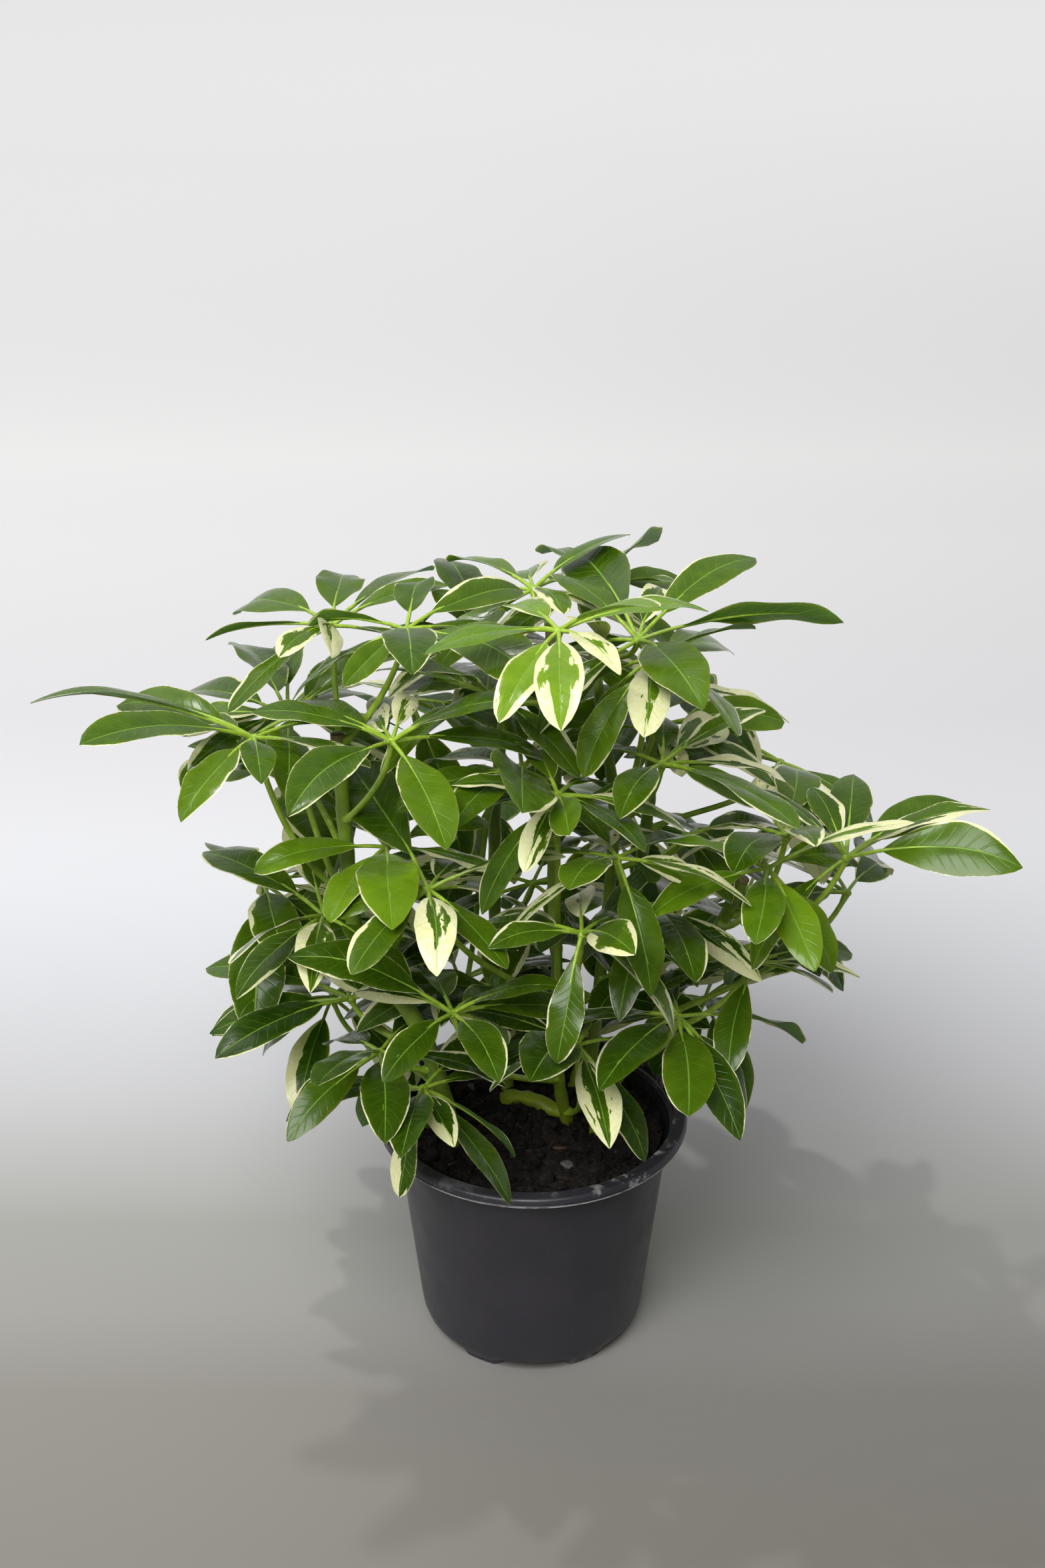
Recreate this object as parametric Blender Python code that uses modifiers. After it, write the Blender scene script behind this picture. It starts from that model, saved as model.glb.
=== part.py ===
"""Potted umbrella plant: a dwarf schefflera with variegated leaves in a round nursery pot.

Metres, +Z up.  The origin is the middle of the pot's flat base, on the ground, and -Y is the front.
The pot, the soil, every stem and every compound leaf is an object of its own.  A compound leaf is a
stalk, a small hub and the leaflets that spread from it like the ribs of an umbrella.
"""
import math

import bmesh
import bpy
from mathutils import Matrix, Vector, noise

MM = 0.001
CM = 0.01
GAP = 0.3 * MM                 # clearance between pieces that touch

# Pot: thin turned plastic with a rolled lip and drain notches between its feet
LIP_RADIUS = 75 * MM
LIP_BOTTOM = 112.5 * MM
RIM_TOP = 118 * MM
RIM_INNER_RADIUS = 68 * MM
BODY_TOP_RADIUS = 65.5 * MM
BODY_TOP_HEIGHT = 105.5 * MM
BODY_LOW_RADIUS = 55.5 * MM
BODY_LOW_HEIGHT = 14 * MM
BASE_RADIUS = 50 * MM
WALL = 1.8 * MM
FEET = 6
NOTCH_INNER_RADIUS = 43 * MM
NOTCH_WIDTH = 36 * MM          # at the ground
NOTCH_TOP_WIDTH = 23 * MM
NOTCH_DEPTH = 18 * MM          # of the cutter, from the inner radius outward
NOTCH_HEIGHT = 6 * MM
POT_SEGMENTS = 40

# Soil: fills the pot to a finger below the rim
SOIL_LEVEL = 108.5 * MM
SOIL_LUMP = 1.6 * MM
SOIL_RINGS = 5
HOLE_DEPTH = 24 * MM           # sockets that the stems stand in

# Leaf sizes
LEAF_THICKNESS = 0.9 * MM
NECK_THICKNESS = 1.6 * MM      # of a leaflet's own short stalk and its tip
NECK_HALF_WIDTH = 2 * MM
LEAST_HALF_WIDTH = 1.1 * MM
STALK_RADIUS = 1.5 * MM
STALK_STEPS = 4
JOIN_GAP = 0.45 * MM           # between a stalk's foot and the side of its stem
PULL_TOP = 0.35                # how far the stalk's curve is drawn, as a part of its length
PULL_LOW = 0.28
HUB_RADIUS = 3.0 * MM
HUB_HEIGHT = 2.4 * MM
HUB_LEAN = 0.6                 # how much the hub leans the way its stalk does
WIDE_SPREAD = 1.6              # radians between two leaflets where the hub gets two corners
CORNER_TURN = 0.5
SEAM_SHIFT = 0.05              # keeps the hub's corners off the seam of the full turn
BLADE_HALF_WIDTH = 0.160       # as a part of the leaflet's reach
ARCH = 0.07                    # rise of a leaflet's middle, as a part of its reach
# (way along the leaflet, half width as a part of the widest)
OUTLINE = [(0.21, 0.10), (0.42, 0.84), (0.76, 0.88), (1.00, 0.16)]

# Stems: points in centimetres from the soil up, thickness at foot and tip as radii in millimetres
STEMS = {
    "stem_left": ([(-3.6, -1.5, 10.3), (-4.6, -2.8, 16), (-5.5, -3, 18.7), (-7.7, -2.5, 21.8),
                   (-8.2, -2.4, 24.2), (-8.4, -2, 28.3), (-8.6, -1.5, 32.3)], 4.2, 3.2),
    "stem_middle": ([(1.8, 0.4, 10.3), (1.2, -1.3, 14.6), (1.1, -1.5, 20.5), (0.9, -1, 24.6),
                     (1.0, -1, 30.5), (0.7, -1, 37)], 3.0, 2.4),
    "stem_right": ([(3.0, -0.5, 10.3), (3.6, -1, 13.3), (6.2, -1, 18.2), (8.2, -1, 21.6),
                    (9.0, -2, 24.2), (9.4, -2.4, 25.6)], 3.5, 2.9),
    "stem_centre": ([(2.6, 1.2, 10.3), (3.2, 1.2, 18), (3.7, 0.6, 26.9), (3.2, 0.8, 31.3),
                     (2.7, 2.5, 34.6)], 2.9, 2.4),
    "stem_back": ([(-1.2, 2.8, 10.3), (-1.8, 5, 18), (-1.8, 6, 25), (-1.2, 6.5, 31)], 3.4, 2.6),
    "stem_back_right": ([(2.0, 3.6, 10.3), (4.5, 5, 18), (5.6, 6, 25), (5.6, 6.2, 30)], 3.8, 2.6),
    "shoot_left": ([(-5.1, 0.4, 10.3), (-4.9, -1.8, 13.0), (-4.8, -3.6, 15.0)], 2.8, 2.2),
}

# Compound leaves: name, the stem that bears it, how high its stalk joins, and the place of its hub,
# all in centimetres, then its leaflets.  A leaflet is its compass heading (0 is +X, 90 the back),
# its pitch above level, its reach from the hub in centimetres and its roll, angles in degrees.
LEAVES = [
    ("leaf_01", "stem_left", 30.5, (-9, 2, 36), [
        (30, 10, 6, 0), (60, 0, 8.5, -20), (90, 0, 7, 0), (125, -10, 9, -10), (170, -10, 6, 25),
        (210, -30, 6, 5), (245, 5, 4.5, -5), (275, 10, 6.5, -40), (335, -5, 5.5, -15)]),
    ("leaf_02", "stem_left", 32, (-5.5, -1, 37), [
        (15, -10, 4.5, 0), (40, 5, 6.5, 20), (85, 5, 5.5, -5), (155, -5, 5, 30), (185, -30, 6, 10),
        (235, -15, 4.5, -25), (275, 10, 7, 0), (315, 0, 8, 20), (350, -25, 5.5, 0)]),
    ("leaf_03", "stem_left", 28.5, (-6, -5, 33.5), [
        (15, -10, 7, 5), (35, 10, 4.5, -15), (80, 5, 4.5, 20), (105, -15, 6, -40), (135, -5, 7.5, 0),
        (180, 15, 6, 0), (240, 0, 7.5, -10), (290, -10, 7.5, 0), (345, 25, 6, 0)]),
    ("leaf_04", "stem_left", 24, (-11, 1, 32), [
        (0, -25, 6, 10), (30, 20, 6, 0), (55, 10, 6, 10), (80, -10, 5, -40), (110, 0, 9.5, 25),
        (135, -10, 9, -5), (165, -10, 6.5, -10), (195, -35, 6, 15), (275, -5, 7, -25)]),
    ("leaf_05", "stem_left", 26.5, (-11.5, 5, 30.5), [
        (5, -10, 5.5, -15), (50, 15, 6.5, -20), (65, -15, 8, 5), (95, 10, 8, -30), (135, -45, 4.5, 15),
        (180, -30, 6, 10), (195, -5, 5, -15), (225, -10, 6, -5), (330, -10, 6, 0)]),
    ("leaf_06", "stem_left", 25, (-12, -3.5, 33), [
        (35, -5, 5.5, -5), (80, -45, 4.5, -15), (130, -15, 6, 0), (155, 5, 7, -25), (182, 14, 9.5, 25),
        (220, 15, 8.5, -15), (245, -10, 6, -5), (280, 5, 5, -15), (330, 0, 6, -10)]),
    ("leaf_07", "stem_middle", 35, (1, -5, 38.5), [
        (15, 5, 6.5, 0), (70, -20, 6.5, 0), (110, -10, 6.5, 0), (135, -20, 4.5, 20), (205, 0, 6, 0),
        (245, -15, 6, 0), (270, -5, 7.5, 5), (295, 5, 5.5, 0), (315, 25, 6, 0)]),
    ("leaf_08", "stem_centre", 34, (4.5, -1, 36.5), [
        (5, 5, 9, -35), (45, 15, 8, 5), (75, 10, 5, 15), (105, 5, 9.5, -30), (130, 15, 6, 5),
        (155, -20, 5.5, 15), (175, -45, 4.5, -15), (210, -30, 6, -5), (285, 5, 8.5, 10)]),
    ("leaf_09", "stem_centre", 28, (5, -2, 36), [
        (30, 5, 5.5, -25), (60, -15, 8, 15), (100, -15, 7.5, 15), (135, -35, 5.5, 10),
        (195, -45, 4.5, 15), (230, -40, 6, -10), (265, 0, 7.5, 0), (295, 0, 7.5, -30)]),
    ("leaf_10", "stem_centre", 34.5, (3, 6, 36.5), [
        (10, -5, 4.5, -15), (35, -15, 6, 30), (65, 0, 7.5, -40), (95, -40, 5, 0), (115, 0, 6, 20),
        (175, -30, 6, -15), (205, -25, 6.5, 0), (330, -35, 6, 0)]),
    ("leaf_11", "stem_middle", 37, (0, 4, 37), [
        (45, 10, 6.5, -15), (65, -20, 9.5, -5), (95, -15, 7, -15), (125, -5, 7, 15), (160, -20, 6, 5),
        (210, -30, 6, -10), (285, 10, 5, -10), (350, -20, 6, 10)]),
    ("leaf_12", "stem_middle", 32.5, (-2, 5, 34), [
        (5, -20, 6, -5), (45, -20, 6, 10), (105, 10, 8.5, 10), (130, 20, 4.5, -15), (165, -10, 6, 10),
        (185, 10, 5, 0), (220, -10, 6, 5), (305, -25, 5.5, 5)]),
    ("leaf_13", "stem_centre", 28.5, (5.5, 1, 31.5), [
        (20, -5, 6.5, 40), (45, -20, 6, -20), (75, -5, 7.5, 15), (100, 5, 5.5, 15),
        (125, 20, 4.5, -15), (155, -20, 6, 10), (280, 0, 5, -5), (345, -20, 6, 5)]),
    ("leaf_14", "stem_centre", 27, (5.5, -4, 32), [
        (15, -15, 6.5, 0), (30, 15, 5.5, 0), (60, -5, 6.5, 30), (85, 5, 4.5, 15), (130, -15, 7, 15),
        (170, -40, 6, 30), (250, 5, 6, -5), (310, 0, 8, -20), (340, -15, 4.5, 25)]),
    ("leaf_15", "stem_middle", 19.5, (1, -6, 31.5), [
        (10, -20, 6, 5), (70, -20, 6.5, 0), (105, 5, 4.5, 5), (155, -25, 6, 0), (185, 10, 4.5, 0),
        (225, -40, 6, 10), (250, -20, 4.5, -25), (275, 5, 4.5, 25), (305, 0, 6, -20)]),
    ("leaf_16", "stem_right", 20, (3.5, -7, 29), [
        (15, -25, 4.5, 40), (50, -15, 7, -10), (70, -35, 6, 20), (100, -20, 7, 0), (130, -25, 7.5, 20),
        (200, -30, 6, 20), (250, 15, 6.5, 0), (290, -45, 6, 5), (325, 0, 6.5, -15)]),
    ("leaf_17", "stem_middle", 18.5, (2, -9, 26.5), [
        (35, -35, 8, 0), (60, -15, 4.5, 0), (90, -10, 6, -30), (110, -35, 6, 0), (135, -20, 7, -15),
        (210, 10, 4.5, -15), (250, -55, 5.5, 0), (290, 20, 6, 25), (350, -45, 6, 0)]),
    ("leaf_18", "stem_middle", 19, (-4.5, -7, 27.5), [
        (5, 15, 6, -15), (50, -30, 8, 5), (75, -15, 6, 0), (115, 13, 9, -40), (150, -10, 5.5, -5),
        (195, -10, 4.5, 0), (240, -10, 6, -5), (275, 5, 7.5, 0), (305, -10, 6, -10)]),
    ("leaf_19", "stem_left", 25.5, (-6.5, -3, 27.5), [
        (25, 5, 5, 15), (60, -20, 6, -10), (90, -20, 5, -15), (115, -10, 6, -10), (200, 0, 6, -5),
        (250, -5, 6, 10), (275, 5, 8, 0), (280, -60, 4.5, -40), (350, -10, 5.5, -10)]),
    ("leaf_20", "stem_left", 21, (-9.5, -2, 23.5), [
        (10, -25, 6, 0), (35, -10, 6, 0), (80, 25, 6.5, -35), (110, 25, 6, -5), (140, 5, 8, 0),
        (220, -25, 5.5, -5), (240, 10, 7, 30), (270, 5, 7, -15), (315, -10, 6, 0)]),
    ("leaf_21", "stem_left", 16.5, (-8.5, -1, 18.5), [
        (0, 5, 6.5, 0), (30, 15, 7, 0), (60, 5, 5.5, -5), (75, -20, 6, 0), (110, 0, 4.5, -15),
        (130, -25, 9.5, 0), (155, 0, 8, -5), (180, -15, 7, -20), (220, 0, 7.5, -10)]),
    ("leaf_22", "stem_left", 16, (-7, -4, 17.5), [
        (65, -5, 6, 25), (80, -45, 5.5, 15), (120, -25, 6.5, 0), (145, -45, 6.5, -15),
        (190, -35, 5.5, -15), (225, -20, 6, -30), (250, 20, 7, 5), (275, 5, 7.5, 0), (350, -10, 6, -5)]),
    ("leaf_23", "stem_middle", 14.5, (-3.5, -8, 22), [
        (20, -10, 6, 10), (45, -40, 4.5, 0), (65, -15, 4.5, 0), (105, -10, 6, 20), (140, -10, 6, -30),
        (180, 25, 7.5, -25), (240, 0, 5.5, -25), (290, 5, 6, 10), (345, 25, 5.5, 0)]),
    ("leaf_24", "shoot_left", 12.5, (-5, -5.5, 16.5), [
        (10, -45, 6, -25), (30, -10, 4.5, 0), (60, -5, 6.5, 15), (135, -40, 6, 30), (165, -15, 5, -15),
        (245, -60, 5, 10), (265, 10, 7, 15), (290, 0, 4.5, 10), (320, -35, 6.5, -15)]),
    ("leaf_25", "stem_right", 15, (6.5, -5, 20), [
        (30, -25, 8, -20), (95, -5, 4.5, -40), (130, 23, 5, 25), (155, -25, 4.5, 0), (185, 0, 5.5, 20),
        (240, 5, 7.5, 5), (270, -5, 7, 0), (295, -25, 6.5, 5), (335, -50, 5.5, -5)]),
    ("leaf_26", "stem_right", 17, (10, -2, 21), [
        (30, -10, 6, 20), (65, -10, 6, -10), (100, -40, 4.5, -25), (130, -25, 6, -20),
        (180, -25, 4.5, 15), (215, 5, 6, 15), (255, -25, 6, -5), (310, 10, 5, -30), (355, -5, 5, -10)]),
    ("leaf_27", "stem_right", 23.5, (11, -4, 28.5), [
        (30, -15, 4.5, 0), (55, -5, 5.5, 5), (80, 5, 6.5, 5), (105, -5, 5.5, 5), (130, -15, 4.5, 20),
        (175, -15, 5, 20), (245, 15, 7, 0), (275, 25, 6, 10)]),
    ("leaf_28", "stem_right", 21, (13.5, -5, 28), [
        (5, 20, 6.5, -5), (30, 10, 6.5, 15), (65, -30, 8, 35), (80, 10, 6.5, 5), (105, 20, 4.5, 0),
        (150, 30, 5, 15), (190, -50, 6.5, 0), (340, 10, 7.5, 40)]),
    ("leaf_29", "stem_right", 23, (10, -6, 28), [
        (0, 20, 6.5, -15), (45, -15, 6.5, 25), (95, -10, 5, -25), (175, 15, 4.5, 15),
        (205, -10, 6, -5), (260, 0, 6.5, 0), (285, -15, 6, 10), (340, -55, 5.5, 20)]),
    ("leaf_30", "stem_centre", 24.5, (7, 0, 26.5), [
        (20, -55, 6, -10), (35, -10, 6, 15), (70, -25, 7.5, 0), (105, -10, 5, 25),
        (145, -25, 6.5, -20), (205, -40, 6, 0), (290, -10, 5, 15), (345, -30, 5.5, -5)]),
    ("leaf_31", "stem_centre", 18.5, (5.5, -2, 24), [
        (45, -30, 8, 10), (75, -20, 6.5, 15), (105, -35, 7.5, 40), (140, -30, 4.5, 0),
        (185, -40, 5.5, 0), (250, -30, 6, 5), (280, 5, 7.5, -5), (325, -20, 6, 25)]),
    ("leaf_32", "stem_middle", 27, (-0.5, -2.5, 31), [
        (15, -40, 6, -5), (70, -5, 6, -15), (95, 5, 6, 15), (125, -20, 8.5, 0), (160, -20, 5, 0),
        (205, -5, 6, -15), (245, 5, 7, 0), (270, 15, 9.5, -35), (315, -15, 5.5, -10)]),
    ("leaf_33", "stem_middle", 33.5, (-2, -1, 34), [
        (20, 5, 4.5, 15), (45, -10, 6, 5), (85, 15, 4.5, 15), (105, -15, 8, -5), (135, -15, 6, -15),
        (165, 5, 6, 15), (210, -25, 6, 10), (240, 30, 6, -5), (315, -20, 6, 0)]),
    ("leaf_34", "stem_middle", 12, (2, -5, 18.5), [
        (35, -20, 6.5, -30), (60, 10, 5.5, 15), (85, -25, 5.5, -40), (130, -25, 5.5, 20),
        (165, 10, 6, -15), (225, 5, 5.5, 30), (255, 23, 9, -20), (280, -5, 7, -5), (320, -45, 6, 5)]),
    ("leaf_35", "stem_left", 20.5, (-12, 8, 26), [
        (15, -5, 7, 10), (40, -45, 5, 0), (80, -20, 8, -5), (110, -5, 8, -10), (150, -15, 6.5, -30),
        (185, 20, 5, 0), (240, 20, 8.5, 0), (285, 0, 8, -5), (310, -30, 5, 15)]),
    ("leaf_36", "stem_back", 21.5, (-6, 10, 29), [
        (15, -40, 7, 15), (60, -5, 7.5, -20), (80, -30, 8, -5), (125, -15, 8, 10), (175, -40, 6, 5),
        (235, -25, 8, 0), (260, 15, 6, 0), (295, -45, 9, -10), (355, -15, 7, 10)]),
    ("leaf_37", "stem_back", 30.5, (0, 11, 31), [
        (20, -15, 7, 10), (75, -30, 8, 0), (100, -10, 6, 0), (140, -15, 8, 0), (170, 0, 6, 15),
        (200, 5, 6.5, 0), (245, 0, 8, 0), (270, 15, 8, -15), (325, 0, 7, 0)]),
    ("leaf_38", "stem_back_right", 25.5, (6, 9, 30), [
        (5, -15, 7, 0), (35, -25, 4.5, -15), (65, -25, 8, -25), (100, -30, 7, 15), (135, -30, 8, 0),
        (165, -20, 7, 5), (220, -15, 8, -15), (250, -5, 8.5, 30), (315, -15, 7, 10)]),
    ("leaf_39", "stem_back_right", 24, (12, 7, 27), [
        (125, -10, 8, 20), (160, -5, 8, -10), (185, 5, 6, 0), (210, 15, 7, -15), (255, 5, 6, 15),
        (280, -20, 8, 0), (300, -40, 6, 0), (350, -30, 5.5, 5)]),
    ("leaf_40", "stem_back", 20.5, (-9, 9, 20), [
        (10, 5, 5, 0), (30, -25, 7, -5), (95, -50, 8, -5), (140, -25, 8, 10), (195, -55, 7, -10),
        (220, -15, 8, 10), (245, -5, 4.5, 0), (300, -15, 7.5, 0), (340, -15, 7, 5)]),
    ("leaf_41", "stem_back", 18.5, (-2, 11, 23), [
        (10, 20, 7, 5), (50, 5, 4.5, 15), (85, -30, 8, 10), (110, -15, 7, -15), (155, -25, 8, 10),
        (185, -10, 7, -5), (250, -25, 8, 10), (285, -30, 5, -15), (320, -5, 7.5, -15)]),
    ("leaf_42", "stem_back_right", 23.5, (5, 12, 22), [
        (10, -30, 6.5, -10), (90, -15, 8, 0), (120, -15, 8, 0), (165, -25, 7.5, 10),
        (230, -40, 7.5, 0), (230, 20, 4.5, 0), (260, 0, 4.5, -15), (285, -25, 8, 0), (320, -25, 7, 5)]),
    ("leaf_43", "stem_back_right", 15, (11, 9, 19), [
        (30, -25, 4.5, 0), (65, 10, 6.5, 0), (110, -35, 8, -30), (155, -45, 7, 0), (165, -15, 8, -10),
        (225, -20, 7, 0), (290, -5, 8, -10), (320, -30, 6, 0), (350, -45, 7.5, 30)]),
    ("leaf_44", "stem_left", 21.5, (-13, 4, 22), [
        (30, -15, 7, -10), (80, -20, 8, -10), (115, -10, 7, 10), (270, -35, 8, -10), (285, -5, 6.5, 0),
        (315, -20, 8, 20), (355, -15, 7, -5)]),
    ("leaf_45", "stem_right", 17.5, (15, 3, 22), [
        (60, -5, 5, 40), (100, -10, 6.5, -25), (135, -25, 5.5, 15), (150, 5, 8, 20),
        (185, -10, 5.5, 15), (210, 5, 5, -15)]),
    ("leaf_46", "stem_back", 13, (0, 7, 17), [
        (5, -15, 7, -5), (60, 0, 8, 10), (85, -25, 8, -10), (125, -35, 5.5, 0), (165, -10, 7, 5),
        (210, -45, 6, 0), (260, -20, 8, 10), (290, -20, 6.5, 5), (325, 20, 6, 15)]),
    ("leaf_47", "stem_back", 19, (0, 3, 22.5), [
        (14, -20, 6.5, 0), (45, -20, 6, -15), (74, -5, 6.5, 0), (105, -40, 5.5, -15), (180, 5, 7, -15),
        (199, -20, 7, 15), (254, -20, 6.5, 0), (309, -20, 6.5, -30), (345, 5, 5, 15)]),
    ("leaf_48", "stem_left", 14.2, (-10, 5, 15), [
        (11, 0, 6.5, 0), (45, -5, 6.5, 0), (71, -20, 6.5, 0), (106, -15, 6.5, 0), (150, -30, 6, 0),
        (180, -40, 5, -15), (211, 0, 6.5, 0), (256, -30, 6.5, 0), (316, -25, 6.5, 0)]),
    ("leaf_49", "stem_back", 25.5, (-3.5, 1.5, 18), [
        (5, 10, 5.5, -15), (45, -10, 6.5, 15), (105, 0, 5.5, -15), (135, -15, 6.5, 0),
        (180, -20, 6, 0), (225, 0, 6.5, 0), (260, 5, 4.5, 0), (285, -5, 6, 0), (350, -15, 6.5, 0)]),
    ("leaf_50", "stem_right", 15.5, (8.5, 4, 15.5), [
        (30, 10, 6, 15), (70, 0, 6.5, 0), (130, -30, 6.5, 0), (160, -25, 7, 15), (190, -10, 6.5, 0),
        (245, -5, 6.5, 0), (280, 20, 5.5, 0), (285, -25, 6.5, 0)]),
    ("leaf_51", "stem_centre", 16, (3, 2.5, 16.5), [
        (6, 10, 6.5, 15), (40, 0, 4.5, 15), (85, 10, 5.5, -15), (126, -55, 6.5, -15), (160, 5, 5, 0),
        (191, -5, 6.5, 0), (221, -10, 6, 0), (336, 0, 6, 15)]),
]


def catmull(points, steps):
    """A smooth line through the points, with this many steps between each two."""
    line = []
    count = len(points)
    for i in range(count - 1):
        before = points[max(i - 1, 0)]
        start, end = points[i], points[i + 1]
        after = points[min(i + 2, count - 1)]
        for k in range(steps):
            t = k / steps
            line.append(0.5 * (2 * start + (end - before) * t
                               + (2 * before - 5 * start + 4 * end - after) * t ** 2
                               + (3 * start - before - 3 * end + after) * t ** 3))
    line.append(points[-1].copy())
    return line


def stem_line(name):
    """Centre line and radii of a stem."""
    points, thick, thin = STEMS[name]
    line = catmull([Vector(p) * CM for p in points], 3)
    last = len(line) - 1
    radii = [(thick + (thin - thick) * i / last) * MM for i in range(last + 1)]
    return line, radii


def stem_at(name, height):
    """Centre, direction and radius of a stem at a height above the ground."""
    line, radii = stem_line(name)
    for i in range(len(line) - 1):
        if line[i].z <= height <= line[i + 1].z:
            t = (height - line[i].z) / (line[i + 1].z - line[i].z)
            along = (line[i + 1] - line[i]).normalized()
            return line[i].lerp(line[i + 1], t), along, radii[i] + (radii[i + 1] - radii[i]) * t
    raise ValueError(f"{name} doesn't reach {height}")


def heading_vector(heading, pitch):
    turn, tip = math.radians(heading), math.radians(pitch)
    return Vector((math.cos(turn) * math.cos(tip), math.sin(turn) * math.cos(tip), math.sin(tip)))


def stalk_line(hub, join, out, along):
    """Curve of a leaf stalk from under its hub down to the side of the stem."""
    length = (hub - join).length
    lean = (hub - join).normalized()
    top = (Vector((0, 0, 1)) + HUB_LEAN * lean).normalized()
    start = hub - top * HUB_HEIGHT / 2
    pull_top = start - top * length * PULL_TOP
    pull_low = join + (out * 0.8 + along * 0.6 + lean * 0.3).normalized() * length * PULL_LOW
    line = []
    for i in range(STALK_STEPS + 1):
        t = i / STALK_STEPS
        s = 1 - t
        line.append(s ** 3 * start + 3 * s * s * t * pull_top + 3 * s * t * t * pull_low + t ** 3 * join)
    return line, top


def leaflet_sections(hub, heading, pitch, reach, roll):
    """Centre, side and face direction and half width at each station of a leaflet."""
    toward = heading_vector(heading, pitch)
    turn = math.radians(heading)
    side = Vector((-math.sin(turn), math.cos(turn), 0))
    rise = toward.cross(side)
    side = Matrix.Rotation(math.radians(roll), 3, toward) @ side
    sections = []
    for way, width in OUTLINE:
        centre = hub + toward * reach * way + rise * reach * ARCH * 4 * way * (1 - way)
        slope = (toward + rise * ARCH * 4 * (1 - 2 * way)).normalized()
        face = slope.cross(side).normalized()
        half = max(width * BLADE_HALF_WIDTH * reach, LEAST_HALF_WIDTH)
        sections.append((centre, side, face, half))
    return sections


def push_face(bm, face, corners):
    """Extrude one face and move its new corners to the given places, loop by loop."""
    fresh = bmesh.ops.extrude_discrete_faces(bm, faces=[face])["faces"][0]
    for loop, place in zip(fresh.loops, corners):
        loop.vert.co = place
    return fresh


def leaf_mesh(hub, stem, height, leaflets):
    """One closed compound leaf: hub prism, stalk drawn from its underside, leaflets from its sides."""
    centre, along, radius = stem_at(stem, height)
    out = hub - centre
    out = (out - along * out.dot(along)).normalized()
    join = centre + out * (radius + JOIN_GAP)
    line, top = stalk_line(hub, join, out, along)

    east = top.orthogonal().normalized()
    north = top.cross(east)
    frame = Matrix((east, north, top)).transposed().to_4x4()
    frame.translation = hub

    def bearing(heading, pitch):
        toward = heading_vector(heading, pitch)
        return math.atan2(toward.dot(north), toward.dot(east)) % math.tau

    spread = sorted((bearing(h, p), h, p, r, w) for h, p, r, w in leaflets)
    corners = []
    for i, (angle, *rest) in enumerate(spread):
        after = spread[(i + 1) % len(spread)][0] + (math.tau if i == len(spread) - 1 else 0)
        if after - angle > WIDE_SPREAD:
            corners += [(angle + CORNER_TURN) % math.tau, (after - CORNER_TURN) % math.tau]
        else:
            corners.append((angle + after) / 2 % math.tau)
    corners.sort()

    bm = bmesh.new()
    bmesh.ops.create_cone(bm, cap_ends=True, segments=len(corners), radius1=HUB_RADIUS,
                          radius2=HUB_RADIUS, depth=HUB_HEIGHT, matrix=frame)
    around = {}
    for vert in bm.verts:
        local = frame.inverted() @ vert.co
        turn = (math.atan2(local.y, local.x) + SEAM_SHIFT) % math.tau
        around.setdefault(round(turn, 2), []).append((local.z, vert))
    for angle, key in zip(corners, sorted(around)):
        for z, vert in around[key]:
            vert.co = frame @ Vector((HUB_RADIUS * math.cos(angle), HUB_RADIUS * math.sin(angle), z))
    bm.normal_update()

    caps = [f for f in bm.faces if abs(f.normal.dot(top)) > 0.9]
    walls = [f for f in bm.faces if f not in caps]
    under = min(caps, key=lambda f: f.normal.dot(top))
    for angle, heading, pitch, reach, roll in spread:
        start = max([c for c in corners if c <= angle], default=corners[-1] - math.tau)
        end = min([c for c in corners if c > angle], default=corners[0] + math.tau)
        aim = math.cos((start + end) / 2) * east + math.sin((start + end) / 2) * north
        wall = max(walls, key=lambda f: (f.calc_center_median() - hub).normalized().dot(aim))
        walls.remove(wall)
        middle = wall.calc_center_median()
        across = top.cross(aim)
        signs = [(1 if (l.vert.co - middle).dot(across) > 0 else -1,
                  1 if (l.vert.co - middle).dot(top) > 0 else -1) for l in wall.loops]
        for centre, side, face, half in leaflet_sections(hub, heading, pitch, reach * CM, roll):
            thick = LEAF_THICKNESS if half > NECK_HALF_WIDTH else NECK_THICKNESS
            ring = [centre + side * half * a + face * thick / 2 * b for a, b in signs]
            wall = push_face(bm, wall, ring)
    offsets = [l.vert.co - under.calc_center_median() for l in under.loops]
    angles = [math.atan2(offset.dot(north), offset.dot(east)) for offset in offsets]
    for i in range(1, len(line)):
        before, place = line[i - 1], line[i]
        ahead = line[min(i + 1, len(line) - 1)]
        down = (ahead - before).normalized() if i < len(line) - 1 else -out
        right = (east - down * east.dot(down)).normalized()
        forth = (-down).cross(right)
        ring = [place + (right * math.cos(a) + forth * math.sin(a)) * STALK_RADIUS for a in angles]
        under = push_face(bm, under, ring)
    bmesh.ops.triangulate(bm, faces=bm.faces)
    return bm


def new_object(name, mesh_or_curve, home):
    thing = bpy.data.objects.new(name, mesh_or_curve)
    home.objects.link(thing)
    return thing


def mesh_from(bm, name):
    mesh = bpy.data.meshes.new(name)
    bm.to_mesh(mesh)
    bm.free()
    return mesh


def plain_material(name, colour, roughness):
    material = bpy.data.materials.new(name)
    material.use_nodes = True
    shader = material.node_tree.nodes["Principled BSDF"]
    shader.inputs["Base Color"].default_value = (*colour, 1)
    shader.inputs["Roughness"].default_value = roughness
    return material


def add_screw(thing):
    screw = thing.modifiers.new("turned", "SCREW")
    screw.steps = screw.render_steps = POT_SEGMENTS
    screw.use_merge_vertices = True
    screw.merge_threshold = 0.0001
    screw.use_smooth_shade = True


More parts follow.
